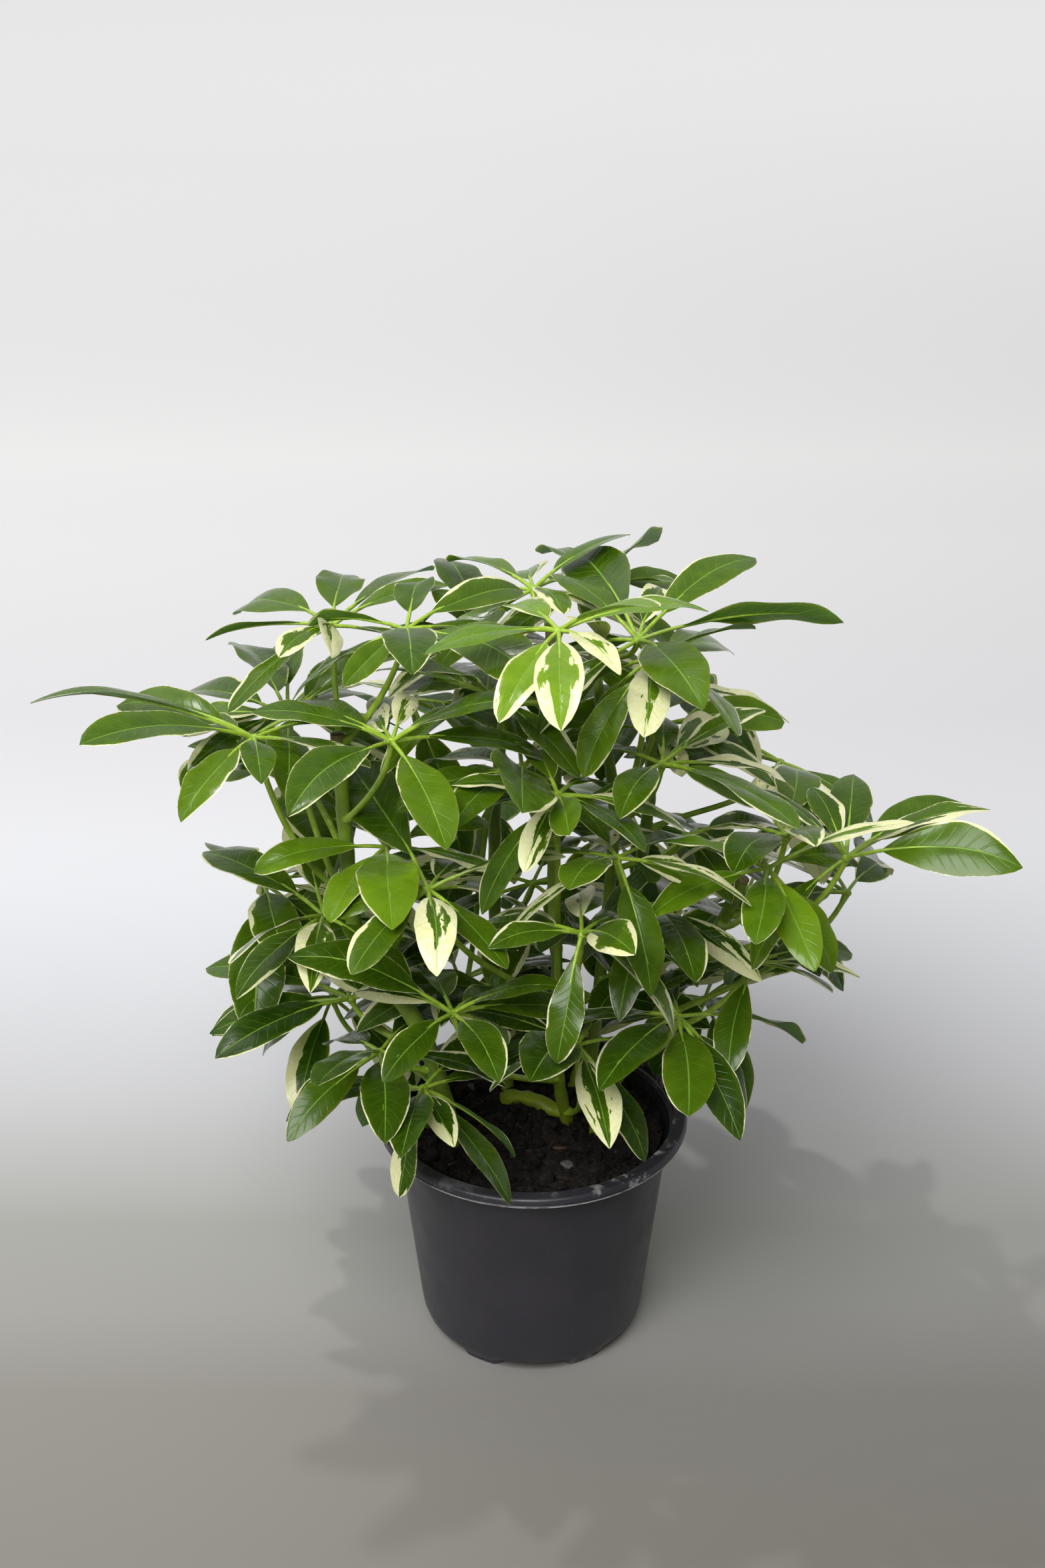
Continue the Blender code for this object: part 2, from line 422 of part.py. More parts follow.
def profile_mesh(name, points):
    bm = bmesh.new()
    verts = [bm.verts.new((x, 0, z)) for x, z in points]
    for a, b in zip(verts, verts[1:]):
        bm.edges.new((a, b))
    return mesh_from(bm, name)


def add_cut(thing, cutter):
    cut = thing.modifiers.new("cut " + cutter.name, "BOOLEAN")
    cut.operation = "DIFFERENCE"
    cut.solver = "EXACT"
    cut.object = cutter


def make_cutter(name, mesh, home):
    cutter = new_object(name, mesh, home)
    cutter.hide_render = True
    cutter.display_type = "WIRE"
    return cutter


def make_pot(plant, cutters):
    inner_low = BODY_LOW_RADIUS - WALL
    profile = [
        (0, WALL), (BASE_RADIUS - WALL, WALL), (inner_low, BODY_LOW_HEIGHT),
        (BODY_TOP_RADIUS - WALL, BODY_TOP_HEIGHT), (RIM_INNER_RADIUS, LIP_BOTTOM),
        (RIM_INNER_RADIUS, RIM_TOP - 1.2 * MM), (RIM_INNER_RADIUS + 1.2 * MM, RIM_TOP),
        (LIP_RADIUS - 2 * MM, RIM_TOP - 0.4 * MM), (LIP_RADIUS, RIM_TOP - 2 * MM),
        (LIP_RADIUS, LIP_BOTTOM + 0.8 * MM), (LIP_RADIUS - 1.2 * MM, LIP_BOTTOM),
        (BODY_TOP_RADIUS + 2 * MM, LIP_BOTTOM), (BODY_TOP_RADIUS, BODY_TOP_HEIGHT),
        (BODY_LOW_RADIUS, BODY_LOW_HEIGHT), (BASE_RADIUS + 1 * MM, 2 * MM), (BASE_RADIUS, 0), (0, 0),
    ]
    pot = new_object("pot", profile_mesh("pot", profile), plant)
    add_screw(pot)
    for k in range(FEET):
        bm = bmesh.new()
        bmesh.ops.create_cube(bm, size=1)
        bmesh.ops.scale(bm, vec=(NOTCH_DEPTH, 1, 2 * NOTCH_HEIGHT), verts=bm.verts)
        for vert in bm.verts:
            vert.co.y *= NOTCH_WIDTH + (NOTCH_TOP_WIDTH - NOTCH_WIDTH) * vert.co.z / NOTCH_HEIGHT
        bmesh.ops.translate(bm, vec=(NOTCH_INNER_RADIUS + NOTCH_DEPTH / 2, 0, 0), verts=bm.verts)
        turn = Matrix.Rotation(math.radians(-90 + 360 / FEET * k), 3, "Z")
        bmesh.ops.rotate(bm, cent=(0, 0, 0), matrix=turn, verts=bm.verts)
        name = f"notch_{k + 1}"
        add_cut(pot, make_cutter(name, mesh_from(bm, name), cutters))
    pot.data.materials.append(plain_material("black plastic", (0.03, 0.032, 0.035), 0.45))
    return pot


def make_soil(plant, cutters):
    low_radius = BASE_RADIUS - WALL - GAP
    knee_radius = BODY_LOW_RADIUS - WALL - GAP
    top_radius = BODY_TOP_RADIUS - WALL - GAP
    bm = bmesh.new()
    bmesh.ops.create_cone(bm, cap_ends=True, segments=POT_SEGMENTS, radius1=low_radius,
                          radius2=knee_radius, depth=BODY_LOW_HEIGHT - WALL - GAP)
    bmesh.ops.translate(bm, verts=bm.verts, vec=(0, 0, (BODY_LOW_HEIGHT + WALL + GAP) / 2))
    top = max(bm.faces, key=lambda f: f.calc_center_median().z)

    def ring(face, radius, height):
        fresh = bmesh.ops.extrude_discrete_faces(bm, faces=[face])["faces"][0]
        for vert in fresh.verts:
            flat = Vector((vert.co.x, vert.co.y, 0)).normalized() * radius
            vert.co = flat + Vector((0, 0, height))
        return fresh

    top = ring(top, top_radius, BODY_TOP_HEIGHT)
    for k in range(SOIL_RINGS):
        top = ring(top, top_radius * (1 - k / SOIL_RINGS) - 0.5 * MM, SOIL_LEVEL)
    bmesh.ops.poke(bm, faces=[top])
    for vert in bm.verts:
        if vert.co.z > BODY_TOP_HEIGHT + MM:
            lump = noise.noise(vert.co / (9 * MM)) + 0.5 * noise.noise(vert.co / (4 * MM))
            vert.co.z += SOIL_LUMP * lump
    soil = new_object("soil", mesh_from(bm, "soil"), plant)
    for name in STEMS:
        line, radii = stem_line(name)
        slant = (line[1] - line[0]).normalized()
        place = slant.to_track_quat("Z", "Y").to_matrix().to_4x4()
        place.translation = line[0] + slant * (HOLE_DEPTH / 2 - 2 * GAP)
        bm = bmesh.new()
        bmesh.ops.create_cone(bm, cap_ends=True, segments=12, radius1=radii[0] + 2 * GAP,
                              radius2=radii[0] + 2 * GAP, depth=HOLE_DEPTH, matrix=place)
        add_cut(soil, make_cutter("hole_" + name, mesh_from(bm, "hole_" + name), cutters))
    soil.data.materials.append(plain_material("peat soil", (0.055, 0.032, 0.02), 0.95))
    return soil


def make_stem(name, plant, bark):
    line, radii = stem_line(name)
    curve = bpy.data.curves.new(name, "CURVE")
    curve.dimensions = "3D"
    curve.bevel_depth = 1
    curve.bevel_resolution = 2
    curve.use_fill_caps = True
    spline = curve.splines.new("POLY")
    spline.points.add(len(line) - 1)
    for point, place, radius in zip(spline.points, line, radii):
        point.co = (*place, 1)
        point.radius = radius
    stem = new_object(name, curve, plant)
    curve.materials.append(bark)


def make_plant():
    for thing in list(bpy.data.objects):
        bpy.data.objects.remove(thing, do_unlink=True)
    plant = bpy.data.collections.new("potted umbrella plant")
    cutters = bpy.data.collections.new("cutters")
    bpy.context.scene.collection.children.link(plant)
    bpy.context.scene.collection.children.link(cutters)
    make_pot(plant, cutters)
    make_soil(plant, cutters)
    bark = plain_material("green stem", (0.24, 0.32, 0.07), 0.5)
    for name in STEMS:
        make_stem(name, plant, bark)
    green = plain_material("variegated leaf", (0.10, 0.22, 0.05), 0.35)
    for name, stem, height, hub, leaflets in LEAVES:
        bm = leaf_mesh(Vector(hub) * CM, stem, height * CM, leaflets)
        leaf = new_object(name, mesh_from(bm, name), plant)
        leaf.data.materials.append(green)


make_plant()
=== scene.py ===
"""Looks of the potted umbrella plant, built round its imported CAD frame.  Metres, +Z up, -Y is the front."""
import math
import random

import bmesh
import bpy
from mathutils import Matrix, Vector, noise


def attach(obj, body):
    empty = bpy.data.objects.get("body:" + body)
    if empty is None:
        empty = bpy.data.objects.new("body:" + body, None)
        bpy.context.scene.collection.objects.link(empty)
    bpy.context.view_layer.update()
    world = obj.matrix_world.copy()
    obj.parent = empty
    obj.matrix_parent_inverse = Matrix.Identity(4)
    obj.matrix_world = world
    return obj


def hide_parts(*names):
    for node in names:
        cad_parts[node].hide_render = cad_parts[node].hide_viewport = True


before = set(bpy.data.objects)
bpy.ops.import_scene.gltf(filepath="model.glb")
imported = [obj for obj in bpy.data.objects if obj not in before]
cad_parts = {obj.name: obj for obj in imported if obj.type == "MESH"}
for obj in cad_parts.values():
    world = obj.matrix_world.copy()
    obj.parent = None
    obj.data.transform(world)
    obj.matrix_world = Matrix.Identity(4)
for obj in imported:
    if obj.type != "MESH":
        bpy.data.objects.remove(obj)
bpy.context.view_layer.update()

MM = 0.001
CM = 0.01

# -----------------------------------------------------------------------------
# Pot: a thin charcoal nursery pot, injection moulded in recycled plastic.  It has a rolled lip with a
# double line of painted highlight and rubbed wear along its lower edge, a slightly bulging wall and six low
# feet, and it stands freely.

POT_TURNS = 180
FEET = 6
NOTCH_HALF_ANGLE = math.radians(21.7)
NOTCH_SLANT = math.radians(8.7)
NOTCH_HEIGHT = 6 * MM
NOTCH_INNER_RADIUS = 43 * MM
FLOOR_THICKNESS = 1.8 * MM
# the floor and the foot of the wall rise over each notch
FLOOR_RISE = 1.7 * MM
FLOOR_RISE_RADIUS = 48.5 * MM
LIP_BOTTOM = 110.5 * MM
LIP_CROWN = 115.5 * MM
CHARCOAL = (0.0245, 0.023, 0.031), (0.031, 0.029, 0.0375)
SCUFF_GREY = (0.16, 0.15, 0.16)
SPECK_GREY = (0.22, 0.21, 0.2)
# white of the limescale crust, also used for the painted highlight lines under the lip
LIME_AND_HIGHLIGHT_WHITE = (0.56, 0.54, 0.54)
# height, half width and strength of the two lines under the lip, painted highlight and rubbed wear
LIP_HIGHLIGHT_AND_WEAR_LINES = (113.65 * MM, 0.22 * MM, 0.75), (112.85 * MM, 0.16 * MM, 0.5)


def turned_pot(points, steps):
    """Spin a profile, given from the inside floor over the lip to the underside, round the Z axis."""
    bm = bmesh.new()
    verts = [bm.verts.new((x, 0, z)) for x, z in points]
    edges = [bm.edges.new(pair) for pair in zip(verts, verts[1:])]
    bmesh.ops.spin(bm, geom=verts + edges, cent=(0, 0, 0), axis=(0, 0, 1), angle=math.tau,
                   steps=steps, use_merge=True)
    bmesh.ops.remove_doubles(bm, verts=bm.verts, dist=1e-6)
    bmesh.ops.recalc_face_normals(bm, faces=bm.faces)
    return bm


def mesh_piece(name, bm, materials, smooth_angle=40):
    """Turn a bmesh into a smooth-shaded object with its materials."""
    mesh = bpy.data.meshes.new(name)
    bm.to_mesh(mesh)
    bm.free()
    mesh.shade_smooth()
    mesh.set_sharp_from_angle(angle=math.radians(smooth_angle))
    for material in materials:
        mesh.materials.append(material)
    piece = bpy.data.objects.new(name, mesh)
    bpy.context.scene.collection.objects.link(piece)
    return piece


def new_material(name):
    """A material with its node tree and shader, ready for a finish."""
    material = bpy.data.materials.new(name)
    material.use_nodes = True
    tree = material.node_tree
    return material, tree, tree.nodes["Principled BSDF"]


def value_of(tree, socket, value):
    """Give a socket a constant or a link."""
    if isinstance(value, bpy.types.NodeSocket):
        tree.links.new(value, socket)
    elif value is not None:
        socket.default_value = value


def noise_at(tree, where, scale, detail=3.0, roughness=0.5):
    node = tree.nodes.new("ShaderNodeTexNoise")
    tree.links.new(where, node.inputs["Vector"])
    node.inputs["Scale"].default_value = scale
    node.inputs["Detail"].default_value = detail
    node.inputs["Roughness"].default_value = roughness
    return node.outputs["Fac"]


def sums(tree, operation, a, b=None, c=None):
    node = tree.nodes.new("ShaderNodeMath")
    node.operation = operation
    for socket, value in zip(node.inputs, (a, b, c)):
        value_of(tree, socket, value)
    return node.outputs[0]


def step(tree, value, low, high, out_low=0.0, out_high=1.0):
    """A soft step of a value from low to high."""
    node = tree.nodes.new("ShaderNodeMapRange")
    node.interpolation_type = "SMOOTHSTEP"
    names = ("Value", "From Min", "From Max", "To Min", "To Max")
    for key, item in zip(names, (value, low, high, out_low, out_high)):
        value_of(tree, node.inputs[key], item)
    return node.outputs[0]


def blend(tree, amount, first, second):
    node = tree.nodes.new("ShaderNodeMix")
    node.data_type = "RGBA"
    value_of(tree, node.inputs[0], amount)
    for socket, colour in ((node.inputs[6], first), (node.inputs[7], second)):
        value_of(tree, socket, colour if isinstance(colour, bpy.types.NodeSocket) else (*colour, 1))
    return node.outputs[2]


def add_bump(tree, shader, height, strength, distance):
    bump = tree.nodes.new("ShaderNodeBump")
    bump.inputs["Strength"].default_value = strength
    bump.inputs["Distance"].default_value = distance
    tree.links.new(height, bump.inputs["Height"])
    tree.links.new(bump.outputs["Normal"], shader.inputs["Normal"])


def object_place(tree):
    return tree.nodes.new("ShaderNodeTexCoord").outputs["Object"]


def times(tree, a, b):
    return sums(tree, "MULTIPLY", a, b)


def finish_with(tree, shader, colour, roughness):
    tree.links.new(colour, shader.inputs["Base Color"])
    tree.links.new(roughness, shader.inputs["Roughness"])


def stretched(tree, where, scale):
    node = tree.nodes.new("ShaderNodeMapping")
    tree.links.new(where, node.inputs["Vector"])
    node.inputs["Scale"].default_value = scale
    return node.outputs["Vector"]


def parts_of(tree, where):
    """The three parts of a place."""
    split = tree.nodes.new("ShaderNodeSeparateXYZ")
    tree.links.new(where, split.inputs[0])
    return split.outputs


def pot_plastic():
    """Satin charcoal plastic with limescale on the rim and foot, and a painted highlight with rubbed wear
    along the lip's lower edge.
    """
    material, tree, shader = new_material("pot plastic")
    place = object_place(tree)
    right, _, height = parts_of(tree, place)
    mottle = noise_at(tree, place, 30, 4)
    colour = blend(tree, step(tree, mottle, 0.3, 0.7), *CHARCOAL)
    speck = step(tree, noise_at(tree, place, 520, 5, 0.7), 0.62, 0.74)
    scuff = step(tree, noise_at(tree, stretched(tree, place, (1, 1, 0.25)), 90, 8, 0.7), 0.60, 0.74)
    colour = blend(tree, times(tree, scuff, 0.10), colour, SCUFF_GREY)
    colour = blend(tree, times(tree, speck, 0.16), colour, SPECK_GREY)
    rim = step(tree, height, LIP_BOTTOM, LIP_CROWN)
    foot = step(tree, height, 10 * MM, 1 * MM, 0, 0.7)
    side = step(tree, right, 0.0, 65 * MM, 0.12, 1.0)
    crust = step(tree, noise_at(tree, place, 60, 9, 0.72), 0.52, 0.62)
    lime_and_lip_highlight = times(tree, times(tree, sums(tree, "MAXIMUM", rim, foot), side), crust)
    # the two lines under the lip are painted highlight and rubbed wear, whitened together with the limescale
    for level, half, strength in LIP_HIGHLIGHT_AND_WEAR_LINES:
        away = sums(tree, "ABSOLUTE", sums(tree, "SUBTRACT", height, level))
        band = step(tree, away, half * 2, half)
        worn = step(tree, noise_at(tree, place, 75, 5, 0.7), 0.36, 0.52, 0.25, 1)
        lime_and_lip_highlight = sums(tree, "MAXIMUM", lime_and_lip_highlight, times(tree, times(tree, band, worn), strength))
    colour = blend(tree, times(tree, lime_and_lip_highlight, 0.8), colour, LIME_AND_HIGHLIGHT_WHITE)
    dull = step(tree, noise_at(tree, place, 48, 7, 0.65), 0.3, 0.75, 0.33, 0.47)
    finish_with(tree, shader, colour, sums(tree, "MULTIPLY_ADD", lime_and_lip_highlight, 0.3, dull))
    shader.inputs["Specular IOR Level"].default_value = 0.5
    add_bump(tree, shader, noise_at(tree, place, 1100, 4, 0.6), 0.10, 0.0003)
    return material


def lip_arc(cx, cz, radius, start, end, count):
    """Points on a round corner of the pot's profile, angles in degrees from +X."""
    angles = [math.radians(start + (end - start) * i / count) for i in range(count + 1)]
    return [(cx + radius * math.cos(a), cz + radius * math.sin(a)) for a in angles]


pot_profile = [(x * MM, FLOOR_THICKNESS) for x in (0, 40, 47.9)] + [(53.3 * MM, 14 * MM)]
pot_profile += [((53.3 + 10.4 * t) * MM, (14 + 91.5 * t) * MM) for t in (0.25, 0.5, 0.75, 1)]
pot_profile += [(68 * MM, 112.5 * MM)] + lip_arc(69.4 * MM, 116.6 * MM, 1.4 * MM, 180, 90, 6)
pot_profile += lip_arc(73.1 * MM, 116.1 * MM, 1.9 * MM, 90, 0, 8) + [(75 * MM, 114.9 * MM)]
pot_profile += lip_arc(74.2 * MM, 113.7 * MM, 0.8 * MM, 75, -90, 8)
pot_profile += [(68.5 * MM, 112.6 * MM)] + lip_arc(68.1 * MM, 110.6 * MM, 1.9 * MM, 100, 165, 5)
pot_profile += [((65.9 - 10.3 * t) * MM, (106 - 92 * t) * MM) for t in (0, 0.2, 0.4, 0.6, 0.8, 1)]
pot_profile += [(55.0 * MM, 10 * MM), (53.8 * MM, 6.5 * MM), (52.2 * MM, 3.4 * MM)]
pot_profile += lip_arc(49.6 * MM, 1.6 * MM, 1.6 * MM, 20, -90, 8)
pot_profile += [(47.5 * MM, 0), (NOTCH_INNER_RADIUS, 0), (41 * MM, 0), (20 * MM, 0), (0, 0)]
bm = turned_pot(pot_profile, POT_TURNS)
for vert in bm.verts:
    radius = math.hypot(vert.co.x, vert.co.y)
    between = math.tau / FEET
    away = abs((math.atan2(vert.co.y, vert.co.x) + math.pi / 2 + between / 2) % between - between / 2)
    if radius > NOTCH_INNER_RADIUS - MM and vert.co.z < NOTCH_HEIGHT:
        lift = max(0.0, min(1.0, (NOTCH_HALF_ANGLE - away) / NOTCH_SLANT))
        room = FLOOR_RISE if vert.co.z > FLOOR_RISE and radius < FLOOR_RISE_RADIUS else 0
        vert.co.z += (NOTCH_HEIGHT + room - vert.co.z) * lift
pot = mesh_piece("nursery_pot", bm, [pot_plastic()], 35)
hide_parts("pot")
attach(pot, "root")

# -----------------------------------------------------------------------------
# Soil: dark damp peat, pressed in by hand to a finger below the rim, lumpy and full of crumbs, with
# bits of bark and a few small grey stones lying on it.

SOIL_LEVEL = 108.5 * MM
SOIL_RADIUS = 63.0 * MM
SOIL_BOTTOM = 12 * MM
SOIL_BOTTOM_RADIUS = 50 * MM
SOIL_RINGS = 52
PEAT_BROWN = (0.0015, 0.0011, 0.0009), (0.052, 0.035, 0.0255)
CLOD_BROWN = (0.075, 0.045, 0.03)
FIBRE_TAN = (0.2, 0.14, 0.1)


def peat():
    material, tree, shader = new_material("peat")
    place = object_place(tree)
    grain = noise_at(tree, place, 420, 8, 0.7)
    clump = noise_at(tree, place, 90, 6, 0.6)
    colour = blend(tree, step(tree, grain, 0.42, 0.72), *PEAT_BROWN)
    colour = blend(tree, step(tree, clump, 0.54, 0.76, 0, 0.5), colour, CLOD_BROWN)
    fibre = step(tree, noise_at(tree, place, 1500, 2), 0.71, 0.77, 0, 0.4)
    colour = blend(tree, fibre, colour, FIBRE_TAN)
    finish_with(tree, shader, colour, step(tree, clump, 0.3, 0.7, 0.72, 0.98))
    shader.inputs["Specular IOR Level"].default_value = 0.35
    add_bump(tree, shader, grain, 1.0, 0.0030)
    return material


def soil_height(x, y):
    place = Vector((x, y, 0.0))
    swell = noise.noise(place / (22 * MM)) * 1.2 + noise.noise(place / (7 * MM)) * 1.9
    crumb = abs(noise.noise(place / (3.6 * MM))) * 2.4 + noise.noise(place / (1.5 * MM)) * 0.7
    return SOIL_LEVEL + (swell + crumb - 0.9) * MM


bm = bmesh.new()
bmesh.ops.create_cone(bm, cap_ends=True, segments=160, radius1=SOIL_BOTTOM_RADIUS, radius2=SOIL_RADIUS,
                      depth=SOIL_LEVEL - SOIL_BOTTOM)
bmesh.ops.translate(bm, verts=bm.verts, vec=(0, 0, (SOIL_LEVEL + SOIL_BOTTOM) / 2))
top = max(bm.faces, key=lambda f: f.calc_center_median().z)
for k in range(1, SOIL_RINGS + 1):
    top = bmesh.ops.extrude_discrete_faces(bm, faces=[top])["faces"][0]
    for vert in top.verts:
        flat = Vector((vert.co.x, vert.co.y, 0)).normalized() * SOIL_RADIUS * (1 - k / (SOIL_RINGS + 1))
        vert.co = flat + Vector((0, 0, SOIL_LEVEL))
bmesh.ops.poke(bm, faces=[top])
for vert in bm.verts:
    if vert.co.z > SOIL_LEVEL - MM:
        vert.co.z = soil_height(vert.co.x, vert.co.y)
peat_finish = peat()
soil = mesh_piece("peat_soil", bm, [peat_finish], 60)
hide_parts("soil")
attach(soil, "root")


def soil_spot(rng, share):
    """A random place on the soil, at height zero, within this share of its radius."""
    radius = SOIL_RADIUS * math.sqrt(rng.random()) * share
    turn = rng.uniform(0, math.tau)
    return Vector((radius * math.cos(turn), radius * math.sin(turn), 0))


# count, smallest and largest radius in millimetres, and roundness
CRUMBS_AND_CLODS = (1200, 0.4, 1.3, 1), (480, 1.3, 4.4, 2)
rng = random.Random(3)
bm = bmesh.new()
for count, smallest, largest, detail in CRUMBS_AND_CLODS:
    for k in range(count):
        spot = soil_spot(rng, 0.95)
        size = (smallest + (largest - smallest) * rng.random() ** 2) * MM
        fresh = bmesh.ops.create_icosphere(bm, subdivisions=detail, radius=size)["verts"]
        for vert in fresh:
            where = vert.co / size
            rough = noise.noise(where * 0.9 + spot * 900) + 0.6 * noise.noise(where * 2.4 - spot * 700)
            vert.co *= 1 + 0.65 * rough
        spot.z = soil_height(spot.x, spot.y) + size * 0.4
        bmesh.ops.scale(bm, vec=(1, rng.uniform(0.6, 1), rng.uniform(0.5, 0.9)), verts=fresh)
        bmesh.ops.rotate(bm, matrix=Matrix.Rotation(rng.uniform(0, 6), 3, "Z"), verts=fresh)
        bmesh.ops.translate(bm, vec=spot, verts=fresh)
crumbs = mesh_piece("peat_crumbs", bm, [peat_finish], 60)
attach(crumbs, "root")

CHIPS = 60
BARK_BROWN = (0.02, 0.011, 0.008), (0.105, 0.06, 0.04)


def bark_chips():
    material, tree, shader = new_material("bark chips")
    place = object_place(tree)
    streak = noise_at(tree, stretched(tree, place, (1, 3, 1)), 260, 5, 0.6)
    colour = blend(tree, step(tree, streak, 0.35, 0.7), *BARK_BROWN)
    finish_with(tree, shader, colour, step(tree, streak, 0.3, 0.7, 0.7, 0.9))
    add_bump(tree, shader, streak, 0.6, 0.001)
    return material


bm = bmesh.new()
for k in range(CHIPS):
    spot = soil_spot(rng, 0.93)
    fresh = bmesh.ops.create_cube(bm, size=1)["verts"]
    length = rng.uniform(2.5, 8) * MM
    breadth, thickness = rng.uniform(0.8, 2.0) * MM, rng.uniform(0.5, 1.1) * MM
    bmesh.ops.scale(bm, vec=(length, breadth, thickness), verts=fresh)
    edges = list({e for v in fresh for e in v.link_edges})
    rounded = bmesh.ops.bevel(bm, geom=edges, offset=0.2 * MM, affect="EDGES", segments=1, profile=0.5,
                              material=-1)
    fresh = list({v for f in rounded["faces"] for v in f.verts})
    tilt = Matrix.Rotation(rng.uniform(-0.3, 0.3), 3, "Y")
    spot.z = soil_height(spot.x, spot.y) + 0.7 * MM
    bmesh.ops.rotate(bm, matrix=Matrix.Rotation(rng.uniform(0, 6), 3, "Z") @ tilt, verts=fresh)
    bmesh.ops.translate(bm, vec=spot, verts=fresh)
chips = mesh_piece("bark_chips", bm, [bark_chips()], 50)
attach(chips, "root")

# across, forward and radius of each stone, in millimetres
STONES = (16, -35, 2.9), (11, -43, 1.3), (31, -40, 1.4), (-16, -45, 1.2), (-30, 30, 2.4), (28, 36, 1.9)
STONE_GREY = (0.04, 0.036, 0.038), (0.125, 0.115, 0.118)


def grey_stone():
    material, tree, shader = new_material("grey stone")
    place = object_place(tree)
    speck = noise_at(tree, place, 700, 6, 0.7)
    colour = blend(tree, step(tree, speck, 0.35, 0.65), *STONE_GREY)
    finish_with(tree, shader, colour, step(tree, speck, 0.3, 0.7, 0.6, 0.8))
    add_bump(tree, shader, speck, 0.4, 0.0006)
    return material


bm = bmesh.new()
for x, y, size in STONES:
    fresh = bmesh.ops.create_icosphere(bm, subdivisions=3, radius=size * MM)["verts"]
    for vert in fresh:
        vert.co *= 1 + 0.28 * noise.noise(vert.co / (size * MM) * 0.9 + Vector((x, y, 0)))
    bmesh.ops.scale(bm, vec=(1.15, 0.9, 0.75), verts=fresh)
    height = soil_height(x * MM, y * MM) + size * 0.4 * MM
    bmesh.ops.translate(bm, vec=(x * MM, y * MM, height), verts=fresh)
stones = mesh_piece("small_stones", bm, [grey_stone()], 50)
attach(stones, "root")

# -----------------------------------------------------------------------------
# Stems: green, smooth and slightly jointed where old leaves have fallen, paler and thicker at the
# foot.  They stand in the soil, and the left one was cut off above its top leaves.

# Points in centimetres from the soil up, thickness at foot and tip as radii in millimetres
STEMS = {
    "stem_left": ([(-3.6, -1.5, 10.3), (-4.6, -2.8, 16), (-5.5, -3, 18.7), (-7.7, -2.5, 21.8),
                   (-8.2, -2.4, 24.2), (-8.4, -2, 28.3), (-8.6, -1.5, 32.3)], 4.2, 3.2),
    "stem_middle": ([(1.8, 0.4, 10.3), (1.2, -1.3, 14.6), (1.1, -1.5, 20.5), (0.9, -1, 24.6),
                     (1.0, -1, 30.5), (0.7, -1, 37)], 3.0, 2.4),
    "stem_right": ([(3.0, -0.5, 10.3), (3.6, -1, 13.3), (6.2, -1, 18.2), (8.2, -1, 21.6),
                    (9.0, -2, 24.2), (9.4, -2.4, 25.6)], 3.5, 2.9),
    "stem_centre": ([(2.6, 1.2, 10.3), (3.2, 1.2, 18), (3.7, 0.6, 26.9), (3.2, 0.8, 31.3),
                     (2.7, 2.5, 34.6)], 2.9, 2.4),
    "stem_back": ([(-1.2, 2.8, 10.3), (-1.8, 5, 18), (-1.8, 6, 25), (-1.2, 6.5, 31)], 3.4, 2.6),
    "stem_back_right": ([(2.0, 3.6, 10.3), (4.5, 5, 18), (5.6, 6, 25), (5.6, 6.2, 30)], 3.8, 2.6),
    "shoot_left": ([(-5.1, 0.4, 10.3), (-4.9, -1.8, 13.0), (-4.8, -3.6, 15.0)], 2.8, 2.2),
}

STEM_STEPS = 14
STEM_SIDES = 20
JOINT_SPACING = 21 * MM
STEM_GREEN = (0.13, 0.23, 0.014), (0.22, 0.34, 0.026)
FOOT_GREEN = (0.27, 0.34, 0.012)
FLECK_GREEN = (0.1, 0.17, 0.012)
CORK_BROWN = (0.17, 0.13, 0.06)


def catmull(points, steps):
    """A smooth line through the points, with this many steps between each two."""
    line = []
    count = len(points)
    for i in range(count - 1):
        before = points[max(i - 1, 0)]
        start, end = points[i], points[i + 1]
        after = points[min(i + 2, count - 1)]
        for k in range(steps):
            t = k / steps
            line.append(0.5 * (2 * start + (end - before) * t
                               + (2 * before - 5 * start + 4 * end - after) * t ** 2
                               + (3 * start - before - 3 * end + after) * t ** 3))
    line.append(points[-1].copy())
    return line


def stem_line(name, steps):
    """Centre line and radii of a stem."""
    points, thick, thin = STEMS[name]
    line = catmull([Vector(p) * CM for p in points], steps)
    last = len(line) - 1
    return line, [(thick + (thin - thick) * i / last) * MM for i in range(last + 1)]


def rod(bm, line, radii, sides, material=0):
    """A closed round rod along a line: a thin disc whose end face is drawn from point to point."""
    along = (line[1] - line[0]).normalized()
    across = along.orthogonal().normalized()
    start = Matrix((across, along.cross(across), along)).transposed().to_4x4()
    start.translation = line[0] - along * 0.05 * MM
    disc = bmesh.ops.create_cone(bm, cap_ends=True, segments=sides, radius1=radii[0] * 0.8,
                                 radius2=radii[0] * 0.8, depth=0.1 * MM, matrix=start)["verts"]
    faces = list({f for v in disc for f in v.link_faces})
    bm.normal_update()
    face = max((f for f in faces if len(f.verts) == sides), key=lambda f: f.normal.dot(along))
    other = along.cross(across)
    turns = [math.atan2((v.co - line[0]).dot(other), (v.co - line[0]).dot(across)) for v in face.verts]
    last = len(line) - 1
    for i in range(last + 1):
        ahead = (line[min(i + 1, last)] - line[max(i - 1, 0)]).normalized()
        across = (across - ahead * across.dot(ahead)).normalized()
        other = ahead.cross(across)
        face = bmesh.ops.extrude_discrete_faces(bm, faces=[face])["faces"][0]
        for vert, turn in zip(face.verts, turns):
            vert.co = line[i] + (across * math.cos(turn) + other * math.sin(turn)) * radii[i]
        faces += [f for e in face.edges for f in e.link_faces]
    for f in faces:
        if f.is_valid:
            f.material_index = material


def own_value(tree, name):
    """A value that each corner or face of the mesh carries."""
    node = tree.nodes.new("ShaderNodeAttribute")
    node.attribute_name = name
    return node.outputs["Fac"]


